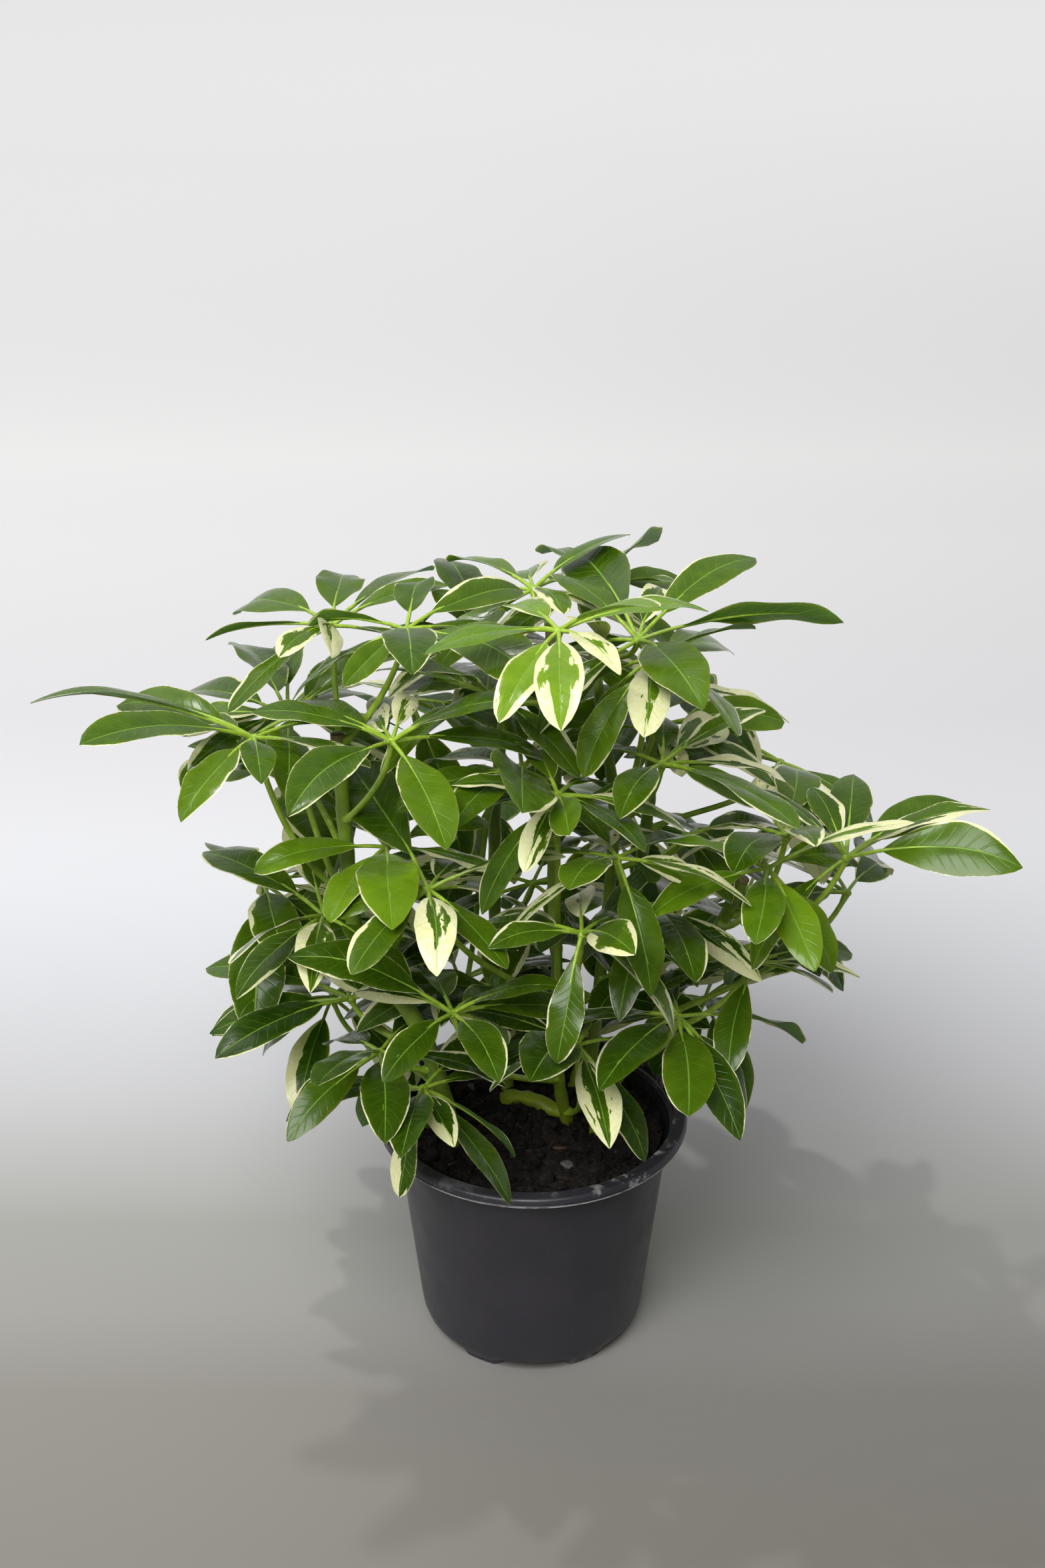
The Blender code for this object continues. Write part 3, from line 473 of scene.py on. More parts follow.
def stem_skin():
    """Green bark: yellow-green with darker flecks, paler at the foot, corky at the joints."""
    material, tree, shader = new_material("stem skin")
    place = object_place(tree)
    broad = noise_at(tree, place, 55, 4)
    fine = noise_at(tree, stretched(tree, place, (1, 1, 0.35)), 420, 6, 0.65)
    colour = blend(tree, step(tree, broad, 0.35, 0.65), *STEM_GREEN)
    pale = step(tree, parts_of(tree, place)[2], 0.15, 0.115, 0, 0.7)
    colour = blend(tree, pale, colour, FOOT_GREEN)
    colour = blend(tree, step(tree, fine, 0.60, 0.78, 0, 0.4), colour, FLECK_GREEN)
    colour = blend(tree, own_value(tree, "cork"), colour, CORK_BROWN)
    finish_with(tree, shader, colour, step(tree, fine, 0.3, 0.7, 0.36, 0.55))
    add_bump(tree, shader, fine, 0.25, 0.0008)
    return material


stem_finish = stem_skin()
for name in STEMS:
    line, radii = stem_line(name, STEM_STEPS)
    walked = 0.0
    cork = []
    for i in range(len(line)):
        walked += (line[i] - line[i - 1]).length if i else 0
        phase = (walked % JOINT_SPACING) / JOINT_SPACING
        ring = math.exp(-((phase - 0.5) / 0.07) ** 2)
        radii[i] *= 1 + 0.09 * ring + 0.05 * math.sin(walked / MM * 0.35 + len(name))
        cork.append(0.35 * ring)
    cork[-3:] = [0.5, 0.9, 1.0]
    line.append(line[-1] + (line[-1] - line[-2]).normalized() * 0.6 * MM)
    radii.append(radii[-1] * 0.72)
    cork.append(1.0)
    bm = bmesh.new()
    rod(bm, line, radii, STEM_SIDES)
    worn = bm.verts.layers.float.new("cork")
    for vert in bm.verts:
        nearest = min(range(len(line)), key=lambda i: (line[i] - vert.co).length_squared)
        vert[worn] = cork[nearest]
        vert.co += (vert.co - line[nearest]) * 0.07 * noise.noise(vert.co / (4 * MM))
    stem = mesh_piece(name + "_bark", bm, [stem_finish], 50)
    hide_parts(name)
    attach(stem, "root")

# The middle stems grew from an old smooth foot that lies half buried beside them.
FOOT = [(-1.6, 2.6, 10.2), (-1.0, 2.0, 11.0), (-0.2, 1.5, 11.3), (0.8, 0.9, 11.2), (1.8, 0.3, 11.0),
        (2.4, -0.1, 10.2)]
bm = bmesh.new()
foot = catmull([Vector(p) * CM for p in FOOT], 10)
swell = [(4.6 - 0.035 * i + 0.4 * math.sin(i * 0.27 + 0.6) + 0.25 * math.sin(i * 0.71)) * MM
         for i in range(len(foot))]
rod(bm, foot, swell, 28)
worn = bm.verts.layers.float.new("cork")
for vert in bm.verts:
    vert[worn] = max(0.0, 0.3 * noise.noise(vert.co / (6 * MM)))
    vert.co += vert.co.normalized() * MM * 1.3 * noise.noise(vert.co / (6 * MM))
foot_piece = mesh_piece("old_stem_foot", bm, [stem_finish], 60)
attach(foot_piece, "root")

# -----------------------------------------------------------------------------
# Leaves: each is a long green stalk, a small knob, and six to nine leathery leaflets on short stalks
# of their own.  The leaflets are glossy dark green above and dull pale green below, and their cream
# edges run into patches.  The youngest leaves, at the top, are a bright yellow-green.

# Each row is a leaf: the stem that bears it, how high its stalk joins and the place of its hub, both in
# centimetres, then its leaflets.  A leaflet is its compass heading (0 is +X, 90 the back), its pitch
# above level, its reach from the hub in centimetres, its roll, and how much of it is cream, from 0 to
# 9, with angles in degrees.
LEAVES = [
    ("stem_left", 30.5, (-9, 2, 36), [(30,10,6,0,1), (60,0,8.5,-20,1), (90,0,7,0,1), (125,-10,9,-10,1),
     (170,-10,6,25,1), (210,-30,6,5,2), (245,5,4.5,-5,5), (275,10,6.5,-40,8), (335,-5,5.5,-15,3)]),
    ("stem_left", 32, (-5.5, -1, 37), [(15,-10,4.5,0,1), (40,5,6.5,20,2), (85,5,5.5,-5,1), (155,-5,5,30,3),
     (185,-30,6,10,1), (235,-15,4.5,-25,1), (275,10,7,0,1), (315,0,8,20,1), (350,-25,5.5,0,0)]),
    ("stem_left", 28.5, (-6, -5, 33.5), [(15,-10,7,5,1), (35,10,4.5,-15,1), (80,5,4.5,20,7),
     (105,-15,6,-40,7), (135,-5,7.5,0,1), (180,15,6,0,1), (240,0,7.5,-10,1), (290,-10,7.5,0,1),
     (345,25,6,0,1)]),
    ("stem_left", 24, (-11, 1, 32), [(0,-25,6,10,5), (30,20,6,0,1), (55,10,6,10,3), (80,-10,5,-40,5),
     (110,0,9.5,25,1), (135,-10,9,-5,1), (165,-10,6.5,-10,4), (195,-35,6,15,0), (275,-5,7,-25,1)]),
    ("stem_left", 26.5, (-11.5, 5, 30.5), [(5,-10,5.5,-15,4), (50,15,6.5,-20,1), (65,-15,8,5,1),
     (95,10,8,-30,1), (135,-45,4.5,15,4), (180,-30,6,10,4), (195,-5,5,-15,3), (225,-10,6,-5,4),
     (330,-10,6,0,7)]),
    ("stem_left", 25, (-12, -3.5, 33), [(35,-5,5.5,-5,1), (80,-45,4.5,-15,3), (130,-15,6,0,1),
     (155,5,7,-25,1), (182,14,9.5,25,1), (220,15,8.5,-15,1), (245,-10,6,-5,1), (280,5,5,-15,1),
     (330,0,6,-10,4)]),
    ("stem_middle", 35, (1, -5, 38.5), [(15,5,6.5,0,1), (70,-20,6.5,0,7), (110,-10,6.5,0,3),
     (135,-20,4.5,20,1), (205,0,6,0,0), (245,-15,6,0,4), (270,-5,7.5,5,5), (295,5,5.5,0,8),
     (315,25,6,0,2)]),
    ("stem_centre", 34, (4.5, -1, 36.5), [(5,5,9,-35,1), (45,15,8,5,1), (75,10,5,15,5), (105,5,9.5,-30,1),
     (130,15,6,5,1), (155,-20,5.5,15,3), (175,-45,4.5,-15,4), (210,-30,6,-5,3), (285,5,8.5,10,1)]),
    ("stem_centre", 28, (5, -2, 36), [(30,5,5.5,-25,1), (60,-15,8,15,1), (100,-15,7.5,15,1),
     (135,-35,5.5,10,1), (195,-45,4.5,15,2), (230,-40,6,-10,1), (265,0,7.5,0,7), (295,0,7.5,-30,1)]),
    ("stem_centre", 34.5, (3, 6, 36.5), [(10,-5,4.5,-15,1), (35,-15,6,30,1), (65,0,7.5,-40,1),
     (95,-40,5,0,3), (115,0,6,20,1), (175,-30,6,-15,7), (205,-25,6.5,0,3), (330,-35,6,0,1)]),
    ("stem_middle", 37, (0, 4, 37), [(45,10,6.5,-15,0), (65,-20,9.5,-5,5), (95,-15,7,-15,4),
     (125,-5,7,15,2), (160,-20,6,5,1), (210,-30,6,-10,1), (285,10,5,-10,4), (350,-20,6,10,5)]),
    ("stem_middle", 32.5, (-2, 5, 34), [(5,-20,6,-5,1), (45,-20,6,10,7), (105,10,8.5,10,1),
     (130,20,4.5,-15,1), (165,-10,6,10,7), (185,10,5,0,1), (220,-10,6,5,5), (305,-25,5.5,5,0)]),
    ("stem_centre", 28.5, (5.5, 1, 31.5), [(20,-5,6.5,40,1), (45,-20,6,-20,1), (75,-5,7.5,15,1),
     (100,5,5.5,15,4), (125,20,4.5,-15,1), (155,-20,6,10,1), (280,0,5,-5,7), (345,-20,6,5,4)]),
    ("stem_centre", 27, (5.5, -4, 32), [(15,-15,6.5,0,7), (30,15,5.5,0,4), (60,-5,6.5,30,5),
     (85,5,4.5,15,1), (130,-15,7,15,1), (170,-40,6,30,2), (250,5,6,-5,1), (310,0,8,-20,1),
     (340,-15,4.5,25,1)]),
    ("stem_middle", 19.5, (1, -6, 31.5), [(10,-20,6,5,5), (70,-20,6.5,0,5), (105,5,4.5,5,1),
     (155,-25,6,0,2), (185,10,4.5,0,3), (225,-40,6,10,1), (250,-20,4.5,-25,7), (275,5,4.5,25,1),
     (305,0,6,-20,1)]),
    ("stem_right", 20, (3.5, -7, 29), [(15,-25,4.5,40,5), (50,-15,7,-10,1), (70,-35,6,20,1),
     (100,-20,7,0,8), (130,-25,7.5,20,1), (200,-30,6,20,7), (250,15,6.5,0,1), (290,-45,6,5,1),
     (325,0,6.5,-15,5)]),
    ("stem_middle", 18.5, (2, -9, 26.5), [(35,-35,8,0,1), (60,-15,4.5,0,1), (90,-10,6,-30,8),
     (110,-35,6,0,2), (135,-20,7,-15,4), (210,10,4.5,-15,2), (250,-55,5.5,0,2), (290,20,6,25,4),
     (350,-45,6,0,5)]),
    ("stem_middle", 19, (-4.5, -7, 27.5), [(5,15,6,-15,7), (50,-30,8,5,5), (75,-15,6,0,3), (115,13,9,-40,1),
     (150,-10,5.5,-5,1), (195,-10,4.5,0,1), (240,-10,6,-5,2), (275,5,7.5,0,7), (305,-10,6,-10,1)]),
    ("stem_left", 25.5, (-6.5, -3, 27.5), [(25,5,5,15,2), (60,-20,6,-10,5), (90,-20,5,-15,2),
     (115,-10,6,-10,5), (200,0,6,-5,1), (250,-5,6,10,1), (275,5,8,0,1), (280,-60,4.5,-40,1),
     (350,-10,5.5,-10,5)]),
    ("stem_left", 21, (-9.5, -2, 23.5), [(10,-25,6,0,5), (35,-10,6,0,1), (80,25,6.5,-35,4), (110,25,6,-5,3),
     (140,5,8,0,1), (220,-25,5.5,-5,2), (240,10,7,30,5), (270,5,7,-15,5), (315,-10,6,0,1)]),
    ("stem_left", 16.5, (-8.5, -1, 18.5), [(0,5,6.5,0,0), (30,15,7,0,2), (60,5,5.5,-5,2), (75,-20,6,0,1),
     (110,0,4.5,-15,2), (130,-25,9.5,0,1), (155,0,8,-5,1), (180,-15,7,-20,1), (220,0,7.5,-10,1)]),
    ("stem_left", 16, (-7, -4, 17.5), [(65,-5,6,25,0), (80,-45,5.5,15,3), (120,-25,6.5,0,2),
     (145,-45,6.5,-15,3), (190,-35,5.5,-15,2), (225,-20,6,-30,1), (250,20,7,5,1), (275,5,7.5,0,1),
     (350,-10,6,-5,3)]),
    ("stem_middle", 14.5, (-3.5, -8, 22), [(20,-10,6,10,1), (45,-40,4.5,0,3), (65,-15,4.5,0,1),
     (105,-10,6,20,1), (140,-10,6,-30,6), (180,25,7.5,-25,1), (240,0,5.5,-25,1), (290,5,6,10,1),
     (345,25,5.5,0,0)]),
    ("shoot_left", 12.5, (-5, -5.5, 16.5), [(10,-45,6,-25,1), (30,-10,4.5,0,1), (60,-5,6.5,15,2),
     (135,-40,6,30,1), (165,-15,5,-15,0), (245,-60,5,10,5), (265,10,7,15,1), (290,0,4.5,10,6),
     (320,-35,6.5,-15,1)]),
    ("stem_right", 15, (6.5, -5, 20), [(30,-25,8,-20,3), (95,-5,4.5,-40,1), (130,23,5,25,1),
     (155,-25,4.5,0,3), (185,0,5.5,20,2), (240,5,7.5,5,1), (270,-5,7,0,1), (295,-25,6.5,5,1),
     (335,-50,5.5,-5,1)]),
    ("stem_right", 17, (10, -2, 21), [(30,-10,6,20,1), (65,-10,6,-10,1), (100,-40,4.5,-25,1),
     (130,-25,6,-20,7), (180,-25,4.5,15,3), (215,5,6,15,1), (255,-25,6,-5,1), (310,10,5,-30,3),
     (355,-5,5,-10,6)]),
    ("stem_right", 23.5, (11, -4, 28.5), [(30,-15,4.5,0,4), (55,-5,5.5,5,1), (80,5,6.5,5,1),
     (105,-5,5.5,5,4), (130,-15,4.5,20,8), (175,-15,5,20,7), (245,15,7,0,1), (275,25,6,10,4)]),
    ("stem_right", 21, (13.5, -5, 28), [(5,20,6.5,-5,5), (30,10,6.5,15,1), (65,-30,8,35,3), (80,10,6.5,5,1),
     (105,20,4.5,0,3), (150,30,5,15,3), (190,-50,6.5,0,1), (340,10,7.5,40,1)]),
    ("stem_right", 23, (10, -6, 28), [(0,20,6.5,-15,7), (45,-15,6.5,25,1), (95,-10,5,-25,1),
     (175,15,4.5,15,2), (205,-10,6,-5,1), (260,0,6.5,0,1), (285,-15,6,10,0), (340,-55,5.5,20,1)]),
    ("stem_centre", 24.5, (7, 0, 26.5), [(20,-55,6,-10,1), (35,-10,6,15,5), (70,-25,7.5,0,1),
     (105,-10,5,25,1), (145,-25,6.5,-20,5), (205,-40,6,0,2), (290,-10,5,15,1), (345,-30,5.5,-5,1)]),
    ("stem_centre", 18.5, (5.5, -2, 24), [(45,-30,8,10,1), (75,-20,6.5,15,1), (105,-35,7.5,40,1),
     (140,-30,4.5,0,5), (185,-40,5.5,0,4), (250,-30,6,5,1), (280,5,7.5,-5,1), (325,-20,6,25,7)]),
    ("stem_middle", 27, (-0.5, -2.5, 31), [(15,-40,6,-5,1), (70,-5,6,-15,8), (95,5,6,15,1),
     (125,-20,8.5,0,4), (160,-20,5,0,1), (205,-5,6,-15,0), (245,5,7,0,1), (270,15,9.5,-35,1),
     (315,-15,5.5,-10,1)]),
    ("stem_middle", 33.5, (-2, -1, 34), [(20,5,4.5,15,2), (45,-10,6,5,3), (85,15,4.5,15,7),
     (105,-15,8,-5,1), (135,-15,6,-15,3), (165,5,6,15,1), (210,-25,6,10,2), (240,30,6,-5,2),
     (315,-20,6,0,2)]),
    ("stem_middle", 12, (2, -5, 18.5), [(35,-20,6.5,-30,1), (60,10,5.5,15,2), (85,-25,5.5,-40,1),
     (130,-25,5.5,20,0), (165,10,6,-15,4), (225,5,5.5,30,4), (255,23,9,-20,1), (280,-5,7,-5,6),
     (320,-45,6,5,1)]),
    ("stem_left", 20.5, (-12, 8, 26), [(15,-5,7,10,0), (40,-45,5,0,7), (80,-20,8,-5,0), (110,-5,8,-10,7),
     (150,-15,6.5,-30,1), (185,20,5,0,1), (240,20,8.5,0,2), (285,0,8,-5,3), (310,-30,5,15,4)]),
    ("stem_back", 21.5, (-6, 10, 29), [(15,-40,7,15,1), (60,-5,7.5,-20,1), (80,-30,8,-5,1),
     (125,-15,8,10,7), (175,-40,6,5,1), (235,-25,8,0,4), (260,15,6,0,4), (295,-45,9,-10,1),
     (355,-15,7,10,3)]),
    ("stem_back", 30.5, (0, 11, 31), [(20,-15,7,10,1), (75,-30,8,0,1), (100,-10,6,0,7), (140,-15,8,0,4),
     (170,0,6,15,1), (200,5,6.5,0,4), (245,0,8,0,5), (270,15,8,-15,1), (325,0,7,0,4)]),
    ("stem_back_right", 25.5, (6, 9, 30), [(5,-15,7,0,7), (35,-25,4.5,-15,3), (65,-25,8,-25,2),
     (100,-30,7,15,4), (135,-30,8,0,1), (165,-20,7,5,0), (220,-15,8,-15,1), (250,-5,8.5,30,0),
     (315,-15,7,10,4)]),
    ("stem_back_right", 24, (12, 7, 27), [(125,-10,8,20,1), (160,-5,8,-10,1), (185,5,6,0,1),
     (210,15,7,-15,0), (255,5,6,15,7), (280,-20,8,0,7), (300,-40,6,0,0), (350,-30,5.5,5,2)]),
    ("stem_back", 20.5, (-9, 9, 20), [(10,5,5,0,3), (30,-25,7,-5,5), (95,-50,8,-5,1), (140,-25,8,10,7),
     (195,-55,7,-10,5), (220,-15,8,10,7), (245,-5,4.5,0,1), (300,-15,7.5,0,5), (340,-15,7,5,1)]),
    ("stem_back", 18.5, (-2, 11, 23), [(10,20,7,5,2), (50,5,4.5,15,5), (85,-30,8,10,3), (110,-15,7,-15,5),
     (155,-25,8,10,1), (185,-10,7,-5,0), (250,-25,8,10,2), (285,-30,5,-15,7), (320,-5,7.5,-15,2)]),
    ("stem_back_right", 23.5, (5, 12, 22), [(10,-30,6.5,-10,1), (90,-15,8,0,2), (120,-15,8,0,3),
     (165,-25,7.5,10,1), (230,-40,7.5,0,2), (230,20,4.5,0,1), (260,0,4.5,-15,5), (285,-25,8,0,3),
     (320,-25,7,5,2)]),
    ("stem_back_right", 15, (11, 9, 19), [(30,-25,4.5,0,2), (65,10,6.5,0,5), (110,-35,8,-30,2),
     (155,-45,7,0,2), (165,-15,8,-10,2), (225,-20,7,0,1), (290,-5,8,-10,1), (320,-30,6,0,4),
     (350,-45,7.5,30,2)]),
    ("stem_left", 21.5, (-13, 4, 22), [(30,-15,7,-10,3), (80,-20,8,-10,7), (115,-10,7,10,2),
     (270,-35,8,-10,1), (285,-5,6.5,0,2), (315,-20,8,20,3), (355,-15,7,-5,7)]),
    ("stem_right", 17.5, (15, 3, 22), [(60,-5,5,40,3), (100,-10,6.5,-25,5), (135,-25,5.5,15,2),
     (150,5,8,20,7), (185,-10,5.5,15,7), (210,5,5,-15,2)]),
    ("stem_back", 13, (0, 7, 17), [(5,-15,7,-5,3), (60,0,8,10,1), (85,-25,8,-10,4), (125,-35,5.5,0,5),
     (165,-10,7,5,5), (210,-45,6,0,1), (260,-20,8,10,2), (290,-20,6.5,5,1), (325,20,6,15,1)]),
    ("stem_back", 19, (0, 3, 22.5), [(14,-20,6.5,0,4), (45,-20,6,-15,2), (74,-5,6.5,0,3),
     (105,-40,5.5,-15,1), (180,5,7,-15,7), (199,-20,7,15,2), (254,-20,6.5,0,2), (309,-20,6.5,-30,2),
     (345,5,5,15,5)]),
    ("stem_left", 14.2, (-10, 5, 15), [(11,0,6.5,0,2), (45,-5,6.5,0,2), (71,-20,6.5,0,3), (106,-15,6.5,0,1),
     (150,-30,6,0,2), (180,-40,5,-15,1), (211,0,6.5,0,1), (256,-30,6.5,0,5), (316,-25,6.5,0,4)]),
    ("stem_back", 25.5, (-3.5, 1.5, 18), [(5,10,5.5,-15,1), (45,-10,6.5,15,1), (105,0,5.5,-15,7),
     (135,-15,6.5,0,5), (180,-20,6,0,1), (225,0,6.5,0,2), (260,5,4.5,0,4), (285,-5,6,0,1),
     (350,-15,6.5,0,1)]),
    ("stem_right", 15.5, (8.5, 4, 15.5), [(30,10,6,15,3), (70,0,6.5,0,1), (130,-30,6.5,0,1),
     (160,-25,7,15,7), (190,-10,6.5,0,3), (245,-5,6.5,0,0), (280,20,5.5,0,1), (285,-25,6.5,0,0)]),
    ("stem_centre", 16, (3, 2.5, 16.5), [(6,10,6.5,15,7), (40,0,4.5,15,1), (85,10,5.5,-15,2),
     (126,-55,6.5,-15,1), (160,5,5,0,1), (191,-5,6.5,0,4), (221,-10,6,0,4), (336,0,6,15,2)]),
]
# how young a leaf is, from 0 to 1, for the leaves (counted from 1) whose height doesn't tell it
YOUNG = {1: 0.22, 2: 0.25, 7: 0.85, 8: 0.22, 9: 0.42, 10: 0.3, 11: 0.5, 12: 0.1, 13: 0.35, 19: 0.7, 29: 0.55}

ARCH = 0.07
STALK_STEPS = 22
HUB_HEIGHT = 2.4 * MM
BLADE_START = 0.21
BLADE_ROWS = 22
BLADE_COLUMNS = 12
BLADE_THICKNESS = 0.45 * MM
BLADE_HALF_WIDTH = 0.153
BLADE_EDGE = 0.35 * MM
JOIN_GAP = 0.45 * MM
KNOB_RADIUS = 2.3 * MM
STALK_SIDES = 12
LEAFLET_STALK_SIDES = 8
# leaves with more cream grow narrower, and the old leaves inside and behind the crown are broader
STUNTING = 0.045
FIRST_INNER_LEAF = 35
INNER_BREADTH = 1.18
# the greens of an old and of a young leaf, then its pale parts
OLD_DARK, YOUNG_DARK = (0.0095, 0.0245, 0.0008), (0.085, 0.185, 0.003)
OLD_LIGHT, YOUNG_LIGHT = (0.046, 0.096, 0.003), (0.21, 0.36, 0.01)
HALO_GREEN = (0.11, 0.2, 0.03), (0.3, 0.46, 0.04)
UNDER_GREEN = (0.085, 0.175, 0.04), (0.22, 0.38, 0.04)
STALK_GREEN = (0.2, 0.33, 0.018), (0.28, 0.44, 0.025)
STREAK_GREEN = (0.32, 0.48, 0.04), (0.42, 0.58, 0.07)
RIB_GREEN = (0.12, 0.24, 0.015)
MIDRIB_GREEN = (0.19, 0.36, 0.045)
CREAM = (0.73, 0.75, 0.33), (0.82, 0.81, 0.53)
UNDER_CREAM = (0.74, 0.74, 0.42)
UNDER_VEIN = (0.28, 0.38, 0.16)
DRIED_LIME = (0.5, 0.56, 0.55)


def stem_at(name, height):
    """Centre, direction and radius of a stem at a height above the ground."""
    line, radii = stem_line(name, 3)
    for i in range(len(line) - 1):
        if line[i].z <= height <= line[i + 1].z:
            t = (height - line[i].z) / (line[i + 1].z - line[i].z)
            along = (line[i + 1] - line[i]).normalized()
            return line[i].lerp(line[i + 1], t), along, radii[i]
    raise ValueError(f"{name} doesn't reach {height}")


def stalk_curve(hub, centre, along, radius):
    """The leaf stalk's curve from under its hub into the side of the stem."""
    out = hub - centre
    out = (out - along * out.dot(along)).normalized()
    join = centre + out * (radius + JOIN_GAP)
    length = (hub - join).length
    lean = (hub - join).normalized()
    top = (Vector((0, 0, 1)) + 0.6 * lean).normalized()
    start = hub - top * HUB_HEIGHT / 2
    pull_top = start - top * length * 0.35
    pull_low = join + (out * 0.8 + along * 0.6 + lean * 0.3).normalized() * length * 0.28
    line = []
    for i in range(STALK_STEPS + 1):
        t = i / STALK_STEPS
        s = 1 - t
        line.append(s ** 3 * start + 3 * s * s * t * pull_top + 3 * s * t * t * pull_low + t ** 3 * join)
    line.append(join - out * 1.2 * MM)
    return line, top


def leaf_skin():
    """Leathery blade: green with a pale midrib and faint side veins, cream at the edges and in patches."""
    material, tree, shader = new_material("leaf skin")
    uv = tree.nodes.new("ShaderNodeUVMap")
    uv.uv_map = "blade"
    sideways, along, _ = parts_of(tree, uv.outputs[0])
    cream, young, seed, under = (own_value(tree, name) for name in ("cream", "young", "seed", "under"))
    across = sums(tree, "MULTIPLY_ADD", sideways, 2, -1)
    off = sums(tree, "ABSOLUTE", across)
    shift = tree.nodes.new("ShaderNodeCombineXYZ")
    for socket, value in zip(shift.inputs, (times(tree, across, 1.1), along, times(tree, seed, 37))):
        tree.links.new(value, socket)
    blotch = noise_at(tree, shift.outputs[0], 2.1, 3, 0.55)
    ragged = noise_at(tree, stretched(tree, shift.outputs[0], (0.7, 2.2, 1)), 9, 4, 0.6)
    mottle = noise_at(tree, object_place(tree), 95, 4, 0.6)

    # side veins leave the midrib at a slant and fade toward the edge
    slant = sums(tree, "SUBTRACT", along, times(tree, off, 0.16))
    ribs = step(tree, sums(tree, "SINE", times(tree, slant, 62)), 0.80, 1.0)
    ribs = times(tree, ribs, step(tree, off, 0.95, 0.5))
    midrib = step(tree, off, 0.055, 0.018)

    dark = blend(tree, young, OLD_DARK, YOUNG_DARK)
    light = blend(tree, young, OLD_LIGHT, YOUNG_LIGHT)
    own_tone = times(tree, sums(tree, "FRACT", times(tree, seed, 7.3)), 0.62)
    tone = sums(tree, "MULTIPLY_ADD", step(tree, mottle, 0.3, 0.7), 0.30, own_tone)
    green = blend(tree, tone, dark, light)
    green = blend(tree, times(tree, ribs, 0.12), green, RIB_GREEN)

    # the cream part: a thin edge everywhere, wider on one side and toward the tip where there is more
    lean = times(tree, across, sums(tree, "MULTIPLY_ADD", seed, 2, -1))
    reach = sums(tree, "MULTIPLY_ADD", sums(tree, "SUBTRACT", blotch, 0.48), 3.6,
                 sums(tree, "MULTIPLY_ADD", cream, 1.40, -0.25))
    reach = sums(tree, "MULTIPLY_ADD", lean, 0.75, reach)
    reach = sums(tree, "ADD", reach, step(tree, along, 0.55, 0.95, -0.12, 0.40))
    thin_edge = sums(tree, "MULTIPLY_ADD", cream, 0.11, sums(tree, "MULTIPLY_ADD", seed, 0.03, -0.033))
    edge_width = sums(tree, "MULTIPLY_ADD", sums(tree, "MAXIMUM", reach, 0.0), cream, thin_edge)
    jag = sums(tree, "MULTIPLY_ADD", cream, 0.16, 0.06)
    edge_width = sums(tree, "MULTIPLY_ADD", sums(tree, "SUBTRACT", ragged, 0.5), jag, edge_width)
    beyond = sums(tree, "SUBTRACT", sums(tree, "SUBTRACT", 1.0, off), edge_width)
    patch = step(tree, beyond, 0.022, -0.010)
    halo = times(tree, step(tree, beyond, 0.16, 0.0), step(tree, cream, 0.1, 0.4, 0.15, 0.75))
    halo = times(tree, halo, step(tree, ragged, 0.42, 0.6, 0.25, 1))
    pale = blend(tree, step(tree, ragged, 0.35, 0.7), *CREAM)
    upper = blend(tree, halo, green, blend(tree, young, *HALO_GREEN))
    upper = blend(tree, times(tree, patch, 0.96), upper, pale)
    upper = blend(tree, times(tree, midrib, 0.75), upper, MIDRIB_GREEN)
    lower = blend(tree, young, *UNDER_GREEN)
    lower = blend(tree, times(tree, patch, 0.9), lower, UNDER_CREAM)
    veins = times(tree, sums(tree, "MAXIMUM", midrib, ribs), 0.4)
    lower = blend(tree, veins, lower, UNDER_VEIN)
    colour = blend(tree, under, upper, lower)

    # dried limescale spots left by watering on the upper faces of the leaflets
    spots = step(tree, noise_at(tree, object_place(tree), 620, 3, 0.7), 0.70, 0.76)
    zones = step(tree, noise_at(tree, object_place(tree), 26, 2), 0.52, 0.68, 0, 0.26)
    dust = times(tree, times(tree, spots, zones), sums(tree, "SUBTRACT", 1.0, under))
    colour = blend(tree, dust, colour, DRIED_LIME)

    satin = step(tree, mottle, 0.3, 0.7, 0.19, 0.29)
    finish_with(tree, shader, colour, sums(tree, "MULTIPLY_ADD", under, 0.30, satin))
    shader.inputs["Specular IOR Level"].default_value = 0.27
    shader.inputs["Subsurface Weight"].default_value = 0.20
    shader.inputs["Subsurface Radius"].default_value = (0.004, 0.006, 0.001)
    shader.inputs["Subsurface Scale"].default_value = 0.5
    relief = sums(tree, "MULTIPLY_ADD", ribs, -0.5, times(tree, mottle, 0.7))
    relief = sums(tree, "MULTIPLY_ADD", midrib, -1.2, relief)
    add_bump(tree, shader, relief, 0.35, 0.0007)
    return material


def stalk_skin():
    """Smooth green stalk with fine long paler streaks."""
    material, tree, shader = new_material("stalk skin")
    place = object_place(tree)
    streak = noise_at(tree, stretched(tree, place, (1, 1, 0.25)), 380, 4, 0.6)
    young = own_value(tree, "young")
    low = blend(tree, young, *STALK_GREEN)
    high = blend(tree, young, *STREAK_GREEN)
    colour = blend(tree, step(tree, streak, 0.3, 0.7), low, high)
    finish_with(tree, shader, colour, step(tree, streak, 0.3, 0.7, 0.30, 0.42))
    shader.inputs["Subsurface Weight"].default_value = 0.08
    shader.inputs["Subsurface Scale"].default_value = 0.002
    add_bump(tree, shader, streak, 0.15, 0.0005)
    return material


